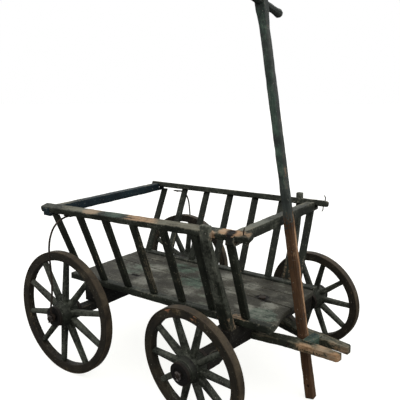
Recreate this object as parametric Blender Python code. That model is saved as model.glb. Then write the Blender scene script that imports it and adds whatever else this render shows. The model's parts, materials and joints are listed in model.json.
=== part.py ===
# Old hand-drawn ladder wagon: plank floor, two leaning ladder sides, four spoked wooden
# wheels with iron tyres, a steered front axle with a fork, and a pole parked upright in it.
# Metres, +Z up, +X towards the fork, +Y to the wagon's left. The ground is z = 0.
import bpy
import bmesh
from math import atan, atan2, cos, pi, radians, sin, tan
from mathutils import Matrix, Vector

# Fit between touching pieces
GAP = 0.0003
ROD_SIDES = 12
PIN_SIDES = 16
MERGE_DISTANCE = 0.00001

# Wheels
REAR_WHEEL_R = 0.230
FRONT_WHEEL_R = 0.195
WHEELBASE = 0.615
WHEEL_FACE_Y = 0.389
WHEEL_WIDTH = 0.027
TYRE_T = 0.004
FELLOE_T = 0.028
WHEEL_SIDES = 40
SPOKES = 10
SPOKE_ROOT = 0.0205
SPOKE_TIP = 0.0165
SPOKE_DEPTH_ROOT = 0.024
SPOKE_DEPTH_TIP = 0.018
SPOKE_CHAMFER = 0.28  # share of the spoke's width taken off each edge
SPOKE_SINK = 0.007  # how far the root goes into the hub
WHEEL_TURNS = {  # how far each wheel is rolled on from a spoke standing straight up
    "rear_right": radians(6),
    "rear_left": radians(6),
    "front_right": radians(18),
    "front_left": radians(16),
}
FRONT_LEAN = radians(5)  # both worn front arms let their wheel lean to the right

# Hub, turned about the axle; the band is the iron hoop on each end
HUB_SIDES = 20
HUB_REACH = 0.040
HUB_INNER_REACH = 0.035
HUB_END_R = 0.0355
HUB_MIDDLE_R = 0.047
HUB_BAND_T = 0.0015
HUB_BAND_W = 0.013
AXLE_R = 0.009
AXLE_FREE = 0.0008

# Axle beams and arms
BEAM_FREE = 0.006
AXLE_COLLAR_R = 0.021
AXLE_COLLAR_T = 0.003
NUT_R = 0.0145
NUT_T = 0.010
REAR_BEAM_W = 0.046
REAR_BEAM_BELOW = 0.030
FRONT_BEAM_W = 0.046
FRONT_BEAM_BELOW = 0.030
FRONT_BEAM_ABOVE = 0.027

# Steering
STEER_REST = radians(-6.5)
TURNING_BOLSTER_H = 0.0200
TURNING_BOLSTER_HALF = 0.210
TURN_FREE = 0.0005
KING_PIN_R = 0.007
KING_PIN_FREE = 0.0012
KING_PIN_HEAD_R = 0.013
KING_PIN_HEAD_T = 0.005

# Bolsters that carry the floor
FLOOR_SEAT_Z = 0.285
BOLSTER_W = 0.060
FRONT_BOLSTER_HALF = 0.264
REAR_BOLSTER_HALF = 0.250
REACH_W = 0.044
REACH_H = 0.030

# Floor boards and the lower side rails; the front end is set from the front axle
FLOOR_REAR_X = -0.145
FLOOR_AHEAD = 0.121
CORNER_AHEAD = 0.021
FLOOR_T = 0.018
LOWER_RAIL_W = 0.034
LOWER_RAIL_H = 0.025
LOWER_RAIL_Y_REAR = 0.2035
LOWER_RAIL_Y_FRONT = 0.1947
BOARD_GAP = 0.003
POLE_SWING = 0.055  # how far the straight front edge reaches to the right of the board joint
BOARD_JOINTS = [  # y at the rear end, y beside the king pin
    (0.052, -0.0101),
    (0.128, 0.0909),
]

# Top rails: centre line at the two cross bars, and how far they run on past the bars
TOP_RAIL_W = 0.036
TOP_RAIL_H = 0.033
TOP_RAIL_REAR = (-0.120, 0.3350, 0.6005)
TOP_RAIL_FRONT = (WHEELBASE + 0.0540, 0.3025, 0.6060)
TAIL_REAR = 0.020
TAIL_FRONT = 0.0455
TAIL_CHAMFER = 0.006

# Cross bars, notched to take the rails; the old bed is out of square
BAR_W = 0.033
BAR_H = 0.033
BAR_DROP = 0.025
BAR_BEYOND = 0.022
BAR_END_CHAMFER = 0.005
REAR_SKEW = radians(2.6)
FRONT_SKEW = radians(0.8)

# Rungs of the ladder sides: x of the first and of the last, at the top and at the foot
RUNGS = 7
RUNG_W = 0.0265
RUNG_T = 0.017
RUNG_TOPS = (-0.087, WHEELBASE + 0.047)
RUNG_FEET = (-0.097, WHEELBASE + 0.0452)

# Front stakes, set from the front axle
STAKE_FOOT_AHEAD = {-1: 0.018, 1: -0.020}
STAKE_TOP_BEHIND = {-1: 0.005, 1: 0.019}
STAKE_INSET = 0.001
STAKE_FOOT_W = 0.044
STAKE_FOOT_T = 0.030
STAKE_TOP_W = 0.025
STAKE_TOP_T = 0.020
STAKE_ABOVE = 0.014

# Iron stays over the rear wheels
STAY_R = 0.0035
STAY_TOP_X = -0.015
STAY_EYE_R = 0.0165
STAY_EYE_T = 0.007
STAY_CLEAR = 0.005
STAY_OUT = 0.0310
STAY_FOOT = (0.036, 0.016, 0.004)
STAY_FOOT_IN = 0.006
STAY_START_IN = 0.010
STAY_SHOULDER = [(0.012, 0.001), (0.052, 0.018)]  # out from the rail, down from the top
STAY_ELBOW = [(0.014, 0.048), (0.001, 0.098)]  # in from the widest place, down from the top
STAY_SHANK = [(0.7, 0.0, 0.48), (0.3, 0.006, 0.24)]  # share of the top's x, out, share of the height
STAY_STRAIGHT = 0.11  # share of the height where the rod comes into the plane of its eye

# Fork, in the steered frame whose x starts at the king pin
FORK_ABOVE_AXLE = 0.018
FORK_H = 0.024
FORK_REACH = 0.320
FORK_TAIL = -0.060
FORK_BEND_X = 0.155
FORK_SLOT = 0.041
FORK_TAIL_INNER = 0.075
FORK_TAIL_OUTER = 0.113
FORK_BEND_OUTER = 0.067
FORK_TIP_OUTER = 0.050
FORK_TIP_CHAMFER = 0.007
CLEAT_LENGTH = 0.034
CLEAT_W = 0.074
CLEAT_T = 0.006
FORK_BOLT_R = 0.004
FORK_BOLT_PROUD = 0.004
FORK_BOLT_BELOW_TOP = 0.012

# Pole and grip
POLE_FOOT_X = 0.2087
POLE_LEAN = atan(0.1843)
POLE_LENGTH = 1.350
POLE_SIDE = 0.029
POLE_CHAMFER = 0.0045
POLE_EDGE = 0.001
POLE_CHAMFER_FROM = 0.610
POLE_RUN_OUT = 0.030
POLE_HEAD_LENGTH = 0.048
POLE_HEAD_SIDE = 0.034
POLE_TWIST = radians(8)  # turned about its own length
POLE_FREE = 0.0008
POLE_PIN_HOLE = 0.048
POLE_PIN_R = 0.005
GRIP_BELOW_TOP = 0.020
GRIP_LENGTH = 0.275
GRIP_TILT = radians(7)  # its left end hangs lower
GRIP_R = 0.0115
GRIP_END_R = 0.0150
GRIP_FLARE = 0.045
GRIP_SIDES = 16

# Worked out from the sizes above
FORK_TIP_X = (WHEELBASE + cos(STEER_REST) * FORK_REACH
              - sin(STEER_REST) * (FORK_TIP_OUTER - FORK_TIP_CHAMFER))
MIDDLE_X = (FORK_TIP_X - REAR_WHEEL_R) / 2
WHEEL_MIDDLE_Y = WHEEL_FACE_Y - WHEEL_WIDTH / 2
HUB_OUTER_Y = WHEEL_FACE_Y + HUB_REACH
HUB_INNER_Y = WHEEL_FACE_Y - WHEEL_WIDTH - HUB_INNER_REACH
BEAM_HALF = HUB_INNER_Y - BEAM_FREE
STAY_EYE_Y = HUB_OUTER_Y + STAY_CLEAR + STAY_EYE_T / 2
FLOOR_FRONT_X = WHEELBASE + FLOOR_AHEAD
FLOOR_CORNER_X = FLOOR_FRONT_X + CORNER_AHEAD
FLOOR_TOP = FLOOR_SEAT_Z + GAP + FLOOR_T
LOWER_RAIL_TOP = FLOOR_SEAT_Z + GAP + LOWER_RAIL_H
FRONT_AXLE_Z = FRONT_WHEEL_R * cos(FRONT_LEAN) + WHEEL_WIDTH / 2 * sin(FRONT_LEAN)
FORK_TOP = FRONT_AXLE_Z + FORK_ABOVE_AXLE
FORK_BOTTOM = FORK_TOP - FORK_H
FORK_BOLT_Z = FORK_TOP - FORK_BOLT_BELOW_TOP
FRONT_BEAM_TOP = FRONT_AXLE_Z + FRONT_BEAM_ABOVE
FRONT_BEAM_BOTTOM = FRONT_AXLE_Z - FRONT_BEAM_BELOW
TURNING_TOP = FRONT_BEAM_TOP + GAP + TURNING_BOLSTER_H
STAKE_FOOT_Y = FRONT_BOLSTER_HALF - STAKE_INSET - STAKE_FOOT_T / 2
POLE_REACH = POLE_SIDE / 2 * cos(POLE_TWIST) + (POLE_SIDE / 2 - POLE_EDGE) * sin(POLE_TWIST)
SIDES = [("right", -1), ("left", 1)]
REAR_BAR = (TOP_RAIL_REAR, REAR_SKEW)
FRONT_BAR = (TOP_RAIL_FRONT, FRONT_SKEW)

FINISHES = {  # linear colour, roughness, metallic
    "dark_green_paint": ((0.012, 0.020, 0.017), 0.62, 0.0),
    "teal_paint": ((0.010, 0.032, 0.034), 0.60, 0.0),
    "grey_boards": ((0.075, 0.075, 0.060), 0.85, 0.0),
    "brown_wood": ((0.055, 0.032, 0.018), 0.75, 0.0),
    "dark_wood": ((0.022, 0.016, 0.011), 0.80, 0.0),
    "worn_wood": ((0.150, 0.085, 0.045), 0.75, 0.0),
    "rusty_iron": ((0.030, 0.020, 0.015), 0.70, 0.7),
}


def clear_scene():
    for item in list(bpy.data.objects):
        bpy.data.objects.remove(item, do_unlink=True)


def empty(name, location=(0, 0, 0), rotation=(0, 0, 0), parent=None):
    item = bpy.data.objects.new(name, None)
    item.location = location
    item.rotation_euler = rotation
    item.parent = parent
    bpy.context.collection.objects.link(item)
    return item


def finish_material(name, finish):
    colour, roughness, metallic = FINISHES[finish]
    material = bpy.data.materials.new(name)
    material.use_nodes = True
    shader = material.node_tree.nodes["Principled BSDF"]
    shader.inputs["Base Color"].default_value = (*colour, 1.0)
    shader.inputs["Roughness"].default_value = roughness
    shader.inputs["Metallic"].default_value = metallic
    return material


def place(name, mesh, finish, parent, location=(0, 0, 0), rotation=(0, 0, 0)):
    item = bpy.data.objects.new(name, mesh)
    if finish:
        mesh.materials.clear()
        mesh.materials.append(finish_material(name + "_" + finish, finish))
    item.location = location
    item.rotation_euler = rotation
    item.parent = parent
    bpy.context.collection.objects.link(item)
    return item


def mesh_from(bm, name, smooth=False):
    bmesh.ops.recalc_face_normals(bm, faces=bm.faces)
    mesh = bpy.data.meshes.new(name)
    bm.to_mesh(mesh)
    bm.free()
    if smooth:
        mesh.shade_smooth()
        mesh.set_sharp_from_angle(angle=radians(30))
    return mesh


def ring_edges(bm, points):
    verts = [bm.verts.new(point) for point in points]
    return [bm.edges.new((verts[i - 1], verts[i])) for i in range(len(verts))]


def loft(name, rings, smooth=False):
    """Skin through closed rings of points, with both ends filled."""
    bm = bmesh.new()
    loops = [ring_edges(bm, ring) for ring in rings]
    for lower, upper in zip(loops, loops[1:]):
        bmesh.ops.bridge_loops(bm, edges=lower + upper)
    bmesh.ops.edgeloop_fill(bm, edges=loops[0])
    bmesh.ops.edgeloop_fill(bm, edges=loops[-1])
    return mesh_from(bm, name, smooth)


def lathe(name, profile, sides, bored=False):
    """Turn (radius, y) points about the Y axis; a bored profile is a closed outline."""
    bm = bmesh.new()
    verts = [bm.verts.new((radius, y, 0)) for radius, y in profile]
    edges = [bm.edges.new(pair) for pair in zip(verts, verts[1:])]
    if bored:
        edges.append(bm.edges.new((verts[-1], verts[0])))
    turn = Matrix.Rotation(pi / sides, 3, "Y")
    bmesh.ops.rotate(bm, verts=verts, matrix=turn)
    bmesh.ops.spin(bm, geom=verts + edges, axis=(0, 1, 0), cent=(0, 0, 0),
                   angle=2 * pi, steps=sides, use_merge=True)
    bmesh.ops.remove_doubles(bm, verts=bm.verts, dist=MERGE_DISTANCE)
    return mesh_from(bm, name, smooth=True)


def combine(name, base, tool, operation):
    """Boolean of two meshes in the same coordinates, as a new mesh."""
    first = place(name + "_base", base, None, None)
    second = place(name + "_tool", tool, None, None)
    modifier = first.modifiers.new("combine", "BOOLEAN")
    modifier.operation = operation
    modifier.solver = "EXACT"
    modifier.object = second
    depsgraph = bpy.context.evaluated_depsgraph_get()
    mesh = bpy.data.meshes.new_from_object(first.evaluated_get(depsgraph))
    mesh.name = name
    bpy.data.objects.remove(first, do_unlink=True)
    bpy.data.objects.remove(second, do_unlink=True)
    return mesh


def join_meshes(name, meshes):
    bm = bmesh.new()
    for mesh in meshes:
        bm.from_mesh(mesh)
    joined = bpy.data.meshes.new(name)
    bm.to_mesh(joined)
    bm.free()
    return joined


def rectangle(half_a, half_b, chamfer=0.0):
    """Corner points of a timber's section, with its edges taken off by chamfer."""
    if not chamfer:
        return [(-half_a, -half_b), (half_a, -half_b), (half_a, half_b), (-half_a, half_b)]
    a, b = half_a - chamfer, half_b - chamfer
    return [(-a, -half_b), (a, -half_b), (half_a, -b), (half_a, b),
            (a, half_b), (-a, half_b), (-half_a, b), (-half_a, -b)]


def box(name, low, high):
    corners = rectangle(0.5, 0.5)
    middle = [(a + b) / 2 for a, b in zip(low, high)]
    size = [b - a for a, b in zip(low, high)]
    rings = [[(middle[0] + x * size[0], middle[1] + y * size[1], z) for x, y in corners]
             for z in (low[2], high[2])]
    return loft(name, rings)


def plank(name, outline, bottom, top):
    """A board cut to a plan outline of (x, y) points."""
    return loft(name, [[(x, y, z) for x, y in outline] for z in (bottom, top)])


def along_x(name, stations):
    """A timber along local X; each station is (x, half width, half height)."""
    return loft(name, [[(x, y, z) for y, z in rectangle(w, h)] for x, w, h in stations])


def cylinder_z(name, radius, low, high, centre=(0, 0)):
    turns = [2 * pi * i / PIN_SIDES for i in range(PIN_SIDES)]
    ring = [(centre[0] + radius * cos(turn), centre[1] + radius * sin(turn)) for turn in turns]
    return plank(name, ring, low, high)


def between(start, end, x):
    """The point of the line from start to end at a given x."""
    share = (x - start[0]) / (end[0] - start[0])
    return tuple(a + share * (b - a) for a, b in zip(start, end))


def aim(start, end):
    """Turn that takes local X to the direction from start to end."""
    direction = Vector(end) - Vector(start)
    flat = direction.xy.length
    return (0, -atan2(direction.z, flat), atan2(direction.y, direction.x))


def mirrored(point, side):
    return (point[0], side * point[1], point[2])


def top_rail_ends(side):
    return mirrored(TOP_RAIL_REAR, side), mirrored(TOP_RAIL_FRONT, side)


def bar_x(bar, side):
    """Where a skewed cross bar's middle crosses the rail of one side."""
    (x, y, z), skew = bar
    return x - side * y * tan(skew)


def rail_line(side):
    """The two ends of one rail's centre line, where it crosses the cross bars."""
    ends = top_rail_ends(side)
    return [between(*ends, bar_x(bar, side)) for bar in (REAR_BAR, FRONT_BAR)]


def rail_turn(side):
    start, end = rail_line(side)
    return Matrix.Translation(start) @ rotation_matrix(aim(start, end))


def build_top_rails(parent):
    for label, side in SIDES:
        start, end = rail_line(side)
        length = (Vector(end) - Vector(start)).length
        low = -BAR_W / 2 - TAIL_REAR
        high = length + BAR_W / 2 + TAIL_FRONT
        full = (TOP_RAIL_W / 2, TOP_RAIL_H / 2)
        small = (full[0] - TAIL_CHAMFER, full[1] - TAIL_CHAMFER)
        stations = [(low, *small), (low + TAIL_CHAMFER, *full),
                    (high - TAIL_CHAMFER, *full), (high, *small)]
        mesh = along_x("top_rail_" + label, stations)
        place("top_rail_" + label, mesh, "dark_green_paint", parent, start, aim(start, end))


def bar_room(side):
    """Cutter for the notch that one rail lies in, open at the top, in the cart's frame."""
    start, end = rail_line(side)
    length = (Vector(end) - Vector(start)).length
    half_w = TOP_RAIL_W / 2 + GAP
    low = -TOP_RAIL_H / 2 - GAP
    section = [(-half_w, low), (half_w, low), (half_w, BAR_H), (-half_w, BAR_H)]
    rings = [[(x, y, z) for y, z in section] for x in (-2 * BAR_W, length + 2 * BAR_W)]
    mesh = loft("notch", rings)
    mesh.transform(rail_turn(side))
    return mesh


def build_cross_bars(parent):
    rows = [("rear_cross_bar", REAR_BAR, "teal_paint"), ("front_cross_bar", FRONT_BAR, "dark_green_paint")]
    for name, ((x, y, z), skew), finish in rows:
        half = (y + BAR_BEYOND) / cos(skew)
        middle_z = BAR_H / 2 - BAR_DROP
        rings = []
        for across, shrink in ((-half, 1), (-half + BAR_END_CHAMFER, 0),
                               (half - BAR_END_CHAMFER, 0), (half, 1)):
            inset = shrink * BAR_END_CHAMFER
            section = rectangle(BAR_W / 2 - inset, BAR_H / 2 - inset)
            rings.append([(a, across, middle_z + b) for a, b in section])
        mesh = loft(name, rings)
        back = (Matrix.Translation((x, 0, z)) @ Matrix.Rotation(skew, 4, "Z")).inverted()
        for label, side in SIDES:
            cutter = bar_room(side)
            cutter.transform(back)
            mesh = combine(name, mesh, cutter, "DIFFERENCE")
        place(name, mesh, finish, parent, (x, 0, z), (0, 0, skew))


def rotation_matrix(euler):
    turn = Matrix.Rotation(euler[2], 4, "Z") @ Matrix.Rotation(euler[1], 4, "Y")
    return turn @ Matrix.Rotation(euler[0], 4, "X")


def lower_rail_y(x):
    rear = (FLOOR_REAR_X, LOWER_RAIL_Y_REAR)
    front = (FLOOR_FRONT_X, LOWER_RAIL_Y_FRONT)
    return between(rear, front, x)[1]


def build_lower_rails(parent):
    half = LOWER_RAIL_W / 2
    for label, side in SIDES:
        front_x = FLOOR_CORNER_X if side < 0 else FLOOR_FRONT_X
        corners = [(FLOOR_REAR_X, -half), (FLOOR_REAR_X, half), (front_x, half), (front_x, -half)]
        outline = [(x, side * (lower_rail_y(x) + across)) for x, across in corners]
        name = "lower_rail_" + label
        mesh = plank(name, outline, 0, LOWER_RAIL_H)
        place(name, mesh, "dark_green_paint", parent, (0, 0, FLOOR_SEAT_Z + GAP))


def joint_y(joint, x):
    """Where a joint between two boards runs, at a given x."""
    return between((FLOOR_REAR_X, joint[0]), (WHEELBASE, joint[1]), x)[1]


def build_floor(parent):
    half_gap = BOARD_GAP / 2
    edge = LOWER_RAIL_W / 2 + GAP
    first, second = BOARD_JOINTS
    boards = [  # name, right edge and left edge as functions of x, x of the right front corner
        ("floor_board_right", lambda x: edge - lower_rail_y(x),
         lambda x: joint_y(first, x) - half_gap, FLOOR_CORNER_X),
        ("floor_board_middle", lambda x: joint_y(first, x) + half_gap,
         lambda x: joint_y(second, x) - half_gap, FLOOR_FRONT_X),
        ("floor_board_left", lambda x: joint_y(second, x) + half_gap,
         lambda x: lower_rail_y(x) - edge, FLOOR_FRONT_X),
    ]
    for name, right, left, corner_x in boards:
        outline = [(FLOOR_REAR_X, right(FLOOR_REAR_X)), (corner_x, right(corner_x))]
        if corner_x > FLOOR_FRONT_X:
            outline.append((FLOOR_FRONT_X, left(FLOOR_FRONT_X) - POLE_SWING))
        outline += [(FLOOR_FRONT_X, left(FLOOR_FRONT_X)), (FLOOR_REAR_X, left(FLOOR_REAR_X))]
        mesh = plank(name, outline, 0, FLOOR_T)
        if name != "floor_board_left":
            cutter = cylinder_z("pin_hole", KING_PIN_R + GAP, -FLOOR_T, 2 * FLOOR_T, (WHEELBASE, 0))
            mesh = combine(name, mesh, cutter, "DIFFERENCE")
        place(name, mesh, "grey_boards", parent, (0, 0, FLOOR_SEAT_Z + GAP))


def build_rungs(parent):
    foot_z = LOWER_RAIL_TOP + GAP
    for label, side in SIDES:
        start, end = rail_line(side)
        slope = abs(end[2] - start[2]) / (end[0] - start[0])
        shifts = [bar_x(bar, side) - bar[0][0] for bar in (REAR_BAR, FRONT_BAR)]
        first, last = [top + shift for top, shift in zip(RUNG_TOPS, shifts)]
        for i in range(RUNGS):
            share = i / (RUNGS - 1)
            foot_x = RUNG_FEET[0] + share * (RUNG_FEET[1] - RUNG_FEET[0])
            top_x = first + share * (last - first)
            foot = Vector((foot_x, side * lower_rail_y(foot_x), foot_z))
            rail = Vector(between(start, end, top_x))
            reach = (BAR_W + RUNG_W + RUNG_T) / 2
            under_bar = min(abs(top_x - start[0]), abs(top_x - end[0])) < reach
            depth = max(BAR_DROP, TOP_RAIL_H / 2) if under_bar else TOP_RAIL_H / 2
            under = depth + GAP + slope * reach
            top = Vector((rail.x, rail.y, rail.z - under))
            section = rectangle(RUNG_W / 2, RUNG_T / 2)
            rise = top - foot
            rings = [[(a, b, 0) for a, b in section],
                     [(a + rise.x, b + rise.y, rise.z) for a, b in section]]
            name = "rung_%s_%d" % (label, i + 1)
            place(name, loft(name, rings), "dark_green_paint", parent, foot)


def build_stakes(parent):
    for label, side in SIDES:
        top_x = WHEELBASE - STAKE_TOP_BEHIND[side]
        rail = between(*top_rail_ends(side), top_x)
        foot_x = WHEELBASE + STAKE_FOOT_AHEAD[side]
        foot = Vector((foot_x, side * STAKE_FOOT_Y, FLOOR_SEAT_Z + GAP))
        outer = abs(rail[1]) + TOP_RAIL_W / 2 + STAKE_TOP_T / 2 + 2 * GAP
        rail_z = rail[2] - TOP_RAIL_H / 2
        top = Vector((top_x, side * outer, rail_z)) - foot
        crown_z = rail[2] + TOP_RAIL_H / 2 + STAKE_ABOVE - foot.z
        low = rectangle(STAKE_FOOT_W / 2, STAKE_FOOT_T / 2)
        high = rectangle(STAKE_TOP_W / 2, STAKE_TOP_T / 2)
        rings = [[(a, b, 0) for a, b in low],
                 [(a + top.x, b + top.y, top.z) for a, b in high],
                 [(a + top.x, b + top.y, crown_z) for a, b in high]]
        name = "front_stake_" + label
        place(name, loft(name, rings), "dark_green_paint", parent, foot)


def build_bolsters(parent):
    rows = [  # name, x, bottom z, half length
        ("rear_bolster", 0.0, REAR_WHEEL_R + GAP, REAR_BOLSTER_HALF),
        ("front_bolster", WHEELBASE, TURNING_TOP + TURN_FREE, FRONT_BOLSTER_HALF),
    ]
    half_w = BOLSTER_W / 2
    for name, x, bottom, half in rows:
        height = FLOOR_SEAT_Z - bottom
        mesh = box(name, (-half_w, -half, 0), (half_w, half, height))
        if name == "front_bolster":
            cutter = cylinder_z("pin_hole", KING_PIN_R + GAP, -height, 2 * height)
            mesh = combine(name, mesh, cutter, "DIFFERENCE")
        place(name, mesh, "dark_wood", parent, (x, 0, bottom))


def build_rear_axle(parent):
    half_w = REAR_BEAM_W / 2
    mesh = box("rear_axle_beam", (-half_w, -BEAM_HALF, -REAR_BEAM_BELOW), (half_w, BEAM_HALF, 0))
    place("rear_axle_beam", mesh, "dark_wood", parent, (0, 0, REAR_WHEEL_R))


def build_reach(parent):
    start = BOLSTER_W / 2 + GAP
    end = WHEELBASE - BOLSTER_W / 2 - GAP
    mesh = box("reach_pole", (0, -REACH_W / 2, -REACH_H), (end - start, REACH_W / 2, 0))
    place("reach_pole", mesh, "dark_wood", parent, (start, 0, FLOOR_SEAT_Z))


def build_king_pin(parent):
    low = FRONT_BEAM_BOTTOM - FLOOR_TOP - 2 * TURN_FREE
    profile = [(0, KING_PIN_HEAD_T + GAP), (KING_PIN_HEAD_R, KING_PIN_HEAD_T + GAP),
               (KING_PIN_HEAD_R, GAP), (KING_PIN_R, GAP), (KING_PIN_R, low),
               (NUT_R, low), (NUT_R, low - NUT_T), (0, low - NUT_T)]
    mesh = lathe("king_pin", profile, PIN_SIDES)
    mesh.transform(Matrix.Rotation(pi / 2, 4, "X"))
    place("king_pin", mesh, "rusty_iron", parent, (WHEELBASE, 0, FLOOR_TOP))


def stay_route(rail_y, drop):
    """Points of one stay on the left, x, y and height above the axle, from rail to eye."""
    wide = WHEEL_FACE_Y + STAY_OUT
    route = [(STAY_TOP_X, rail_y - STAY_START_IN, drop)]
    route += [(STAY_TOP_X, rail_y + out, drop - down) for out, down in STAY_SHOULDER]
    route += [(STAY_TOP_X, wide - back, drop - down) for back, down in STAY_ELBOW]
    route += [(STAY_TOP_X * share, wide + out, drop * height) for share, out, height in STAY_SHANK]
    return route + [(0, STAY_EYE_Y, drop * STAY_STRAIGHT), (0, STAY_EYE_Y, STAY_EYE_R - STAY_R)]


def stay_rod(route):
    curve = bpy.data.curves.new("stay_route", "CURVE")
    curve.dimensions = "3D"
    curve.bevel_depth = STAY_R
    curve.bevel_resolution = 2
    curve.use_fill_caps = True
    curve.resolution_u = 3
    spline = curve.splines.new("BEZIER")
    spline.bezier_points.add(len(route) - 1)
    for point, place_at in zip(spline.bezier_points, route):
        point.co = place_at
        point.handle_left_type = "AUTO"
        point.handle_right_type = "AUTO"
    holder = place("stay_rod", curve, None, None)
    depsgraph = bpy.context.evaluated_depsgraph_get()
    rod = bpy.data.meshes.new_from_object(holder.evaluated_get(depsgraph))
    bpy.data.objects.remove(holder, do_unlink=True)
    return rod


def build_stays(parent):
    length, width, thick = STAY_FOOT
    half_t = STAY_EYE_T / 2
    bore = AXLE_R + GAP
    rail = between(TOP_RAIL_REAR, TOP_RAIL_FRONT, STAY_TOP_X)
    drop = rail[2] - TOP_RAIL_H / 2 - STAY_R - 2 * GAP - REAR_WHEEL_R
    top = drop + STAY_R + GAP
    ring = [(bore, -half_t), (STAY_EYE_R, -half_t), (STAY_EYE_R, half_t), (bore, half_t)]
    for label, side in SIDES:
        name = "rear_stay_" + label
        eye = lathe("eye", ring, HUB_SIDES, bored=True)
        eye.transform(Matrix.Translation((0, side * STAY_EYE_Y, 0)))
        foot_y = side * (rail[1] - STAY_FOOT_IN)
        foot = box("foot", (STAY_TOP_X - length / 2, foot_y - width / 2, top - thick),
                   (STAY_TOP_X + length / 2, foot_y + width / 2, top))
        rod = stay_rod([mirrored(point, side) for point in stay_route(rail[1], drop)])
        mesh = combine(name, rod, eye, "UNION")
        mesh = combine(name, mesh, foot, "UNION")
        place(name, mesh, "rusty_iron", parent, (0, 0, REAR_WHEEL_R))


def build_axle_arm(name, parent, side, lean, eye_room):
    """Iron arm from the beam's end, through the hub, to the nut outside it."""
    inner = BEAM_HALF + GAP + AXLE_COLLAR_R * sin(lean)
    nut_at = HUB_OUTER_Y + AXLE_FREE + eye_room
    profile = [(0, inner), (AXLE_COLLAR_R, inner), (AXLE_COLLAR_R, inner + AXLE_COLLAR_T),
               (AXLE_R, inner + AXLE_COLLAR_T), (AXLE_R, nut_at), (NUT_R, nut_at),
               (NUT_R, nut_at + NUT_T), (0, nut_at + NUT_T)]
    profile = [(radius, y - inner) for radius, y in profile]
    mesh = lathe(name, profile, HUB_SIDES)
    turn = 0 if side > 0 else pi
    place(name, mesh, "rusty_iron", parent, (0, side * (inner - WHEEL_MIDDLE_Y), 0), (0, 0, turn))


def hub_profile():
    """Radius and y from the wheel's middle, outer end positive."""
    outer = HUB_OUTER_Y - WHEEL_MIDDLE_Y
    inner = HUB_INNER_Y - WHEEL_MIDDLE_Y
    band_r = HUB_END_R + HUB_BAND_T
    swell = WHEEL_WIDTH / 2
    bore = AXLE_R + AXLE_FREE
    return [
        (bore, inner),
        (band_r, inner),
        (band_r, inner + HUB_BAND_W),
        (HUB_END_R, inner + HUB_BAND_W),
        (HUB_MIDDLE_R, -swell),
        (HUB_MIDDLE_R, swell),
        (HUB_END_R, outer - HUB_BAND_W),
        (band_r, outer - HUB_BAND_W),
        (band_r, outer),
        (bore, outer),
    ]


def spoke_mesh(angle, rim_inner):
    rings = []
    rows = [(HUB_MIDDLE_R - SPOKE_SINK, SPOKE_ROOT, SPOKE_DEPTH_ROOT),
            (rim_inner - GAP, SPOKE_TIP, SPOKE_DEPTH_TIP)]
    for reach, across, deep in rows:
        chamfer = SPOKE_CHAMFER * across
        section = rectangle(across / 2, deep / 2, chamfer)
        rings.append([(a, b, reach) for a, b in section])
    mesh = loft("spoke", rings)
    mesh.transform(Matrix.Rotation(angle, 4, "Y"))
    return mesh


def wheel_meshes(radius):
    """Hub with spokes, felloe ring and tyre of one wheel size."""
    flat = cos(pi / WHEEL_SIDES)
    tyre_in = radius - TYRE_T
    felloe_out = tyre_in - GAP
    felloe_in = felloe_out - FELLOE_T
    half = WHEEL_WIDTH / 2
    tyre = [(tyre_in / flat, -half), (radius / flat, -half),
            (radius / flat, half), (tyre_in / flat, half)]
    felloe = [(felloe_in / flat, -half), (felloe_out / flat, -half),
              (felloe_out / flat, half), (felloe_in / flat, half)]
    spokes = [spoke_mesh(2 * pi * i / SPOKES, felloe_in) for i in range(SPOKES)]
    hub = lathe("hub", hub_profile(), HUB_SIDES, bored=True)
    return {
        "hub_and_spokes": combine("hub_and_spokes", hub, join_meshes("spokes", spokes), "UNION"),
        "felloes": lathe("felloes", felloe, WHEEL_SIDES, bored=True),
        "tyre": lathe("tyre", tyre, WHEEL_SIDES, bored=True),
    }


def build_wheel(name, axle, side, meshes):
    finishes = {"hub_and_spokes": "dark_green_paint", "felloes": "brown_wood", "tyre": "rusty_iron"}
    facing = 0 if side > 0 else pi
    for piece, mesh in meshes.items():
        turn = side * WHEEL_TURNS[name] if piece == "hub_and_spokes" else 0
        place("%s_%s" % (piece, name), mesh.copy(), finishes[piece], axle, (0, 0, 0), (0, turn, facing))


def build_front_beam(parent):
    half_w = FRONT_BEAM_W / 2
    mesh = box("front_axle_beam", (-half_w, -BEAM_HALF, -FRONT_BEAM_BELOW),
               (half_w, BEAM_HALF, FRONT_BEAM_ABOVE))
    for label, side in SIDES:
        outline = fork_outline(side, GAP)
        notch = plank("notch", outline, FORK_BOTTOM - GAP - FRONT_AXLE_Z, FRONT_BEAM_ABOVE + FORK_H)
        mesh = combine("front_axle_beam", mesh, notch, "DIFFERENCE")
    cutter = cylinder_z("pin_hole", KING_PIN_R + KING_PIN_FREE, -FRONT_BEAM_W, FRONT_BEAM_W)
    mesh = combine("front_axle_beam", mesh, cutter, "DIFFERENCE")
    place("front_axle_beam", mesh, "dark_wood", parent, (0, 0, FRONT_AXLE_Z))


def build_turning_bolster(parent):
    half_w = BOLSTER_W / 2
    mesh = box("turning_bolster", (-half_w, -TURNING_BOLSTER_HALF, 0),
               (half_w, TURNING_BOLSTER_HALF, TURNING_BOLSTER_H))
    cutter = cylinder_z("pin_hole", KING_PIN_R + KING_PIN_FREE,
                        -TURNING_BOLSTER_H, 2 * TURNING_BOLSTER_H)
    mesh = combine("turning_bolster", mesh, cutter, "DIFFERENCE")
    place("turning_bolster", mesh, "dark_wood", parent, (0, 0, FRONT_BEAM_TOP + GAP))


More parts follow.
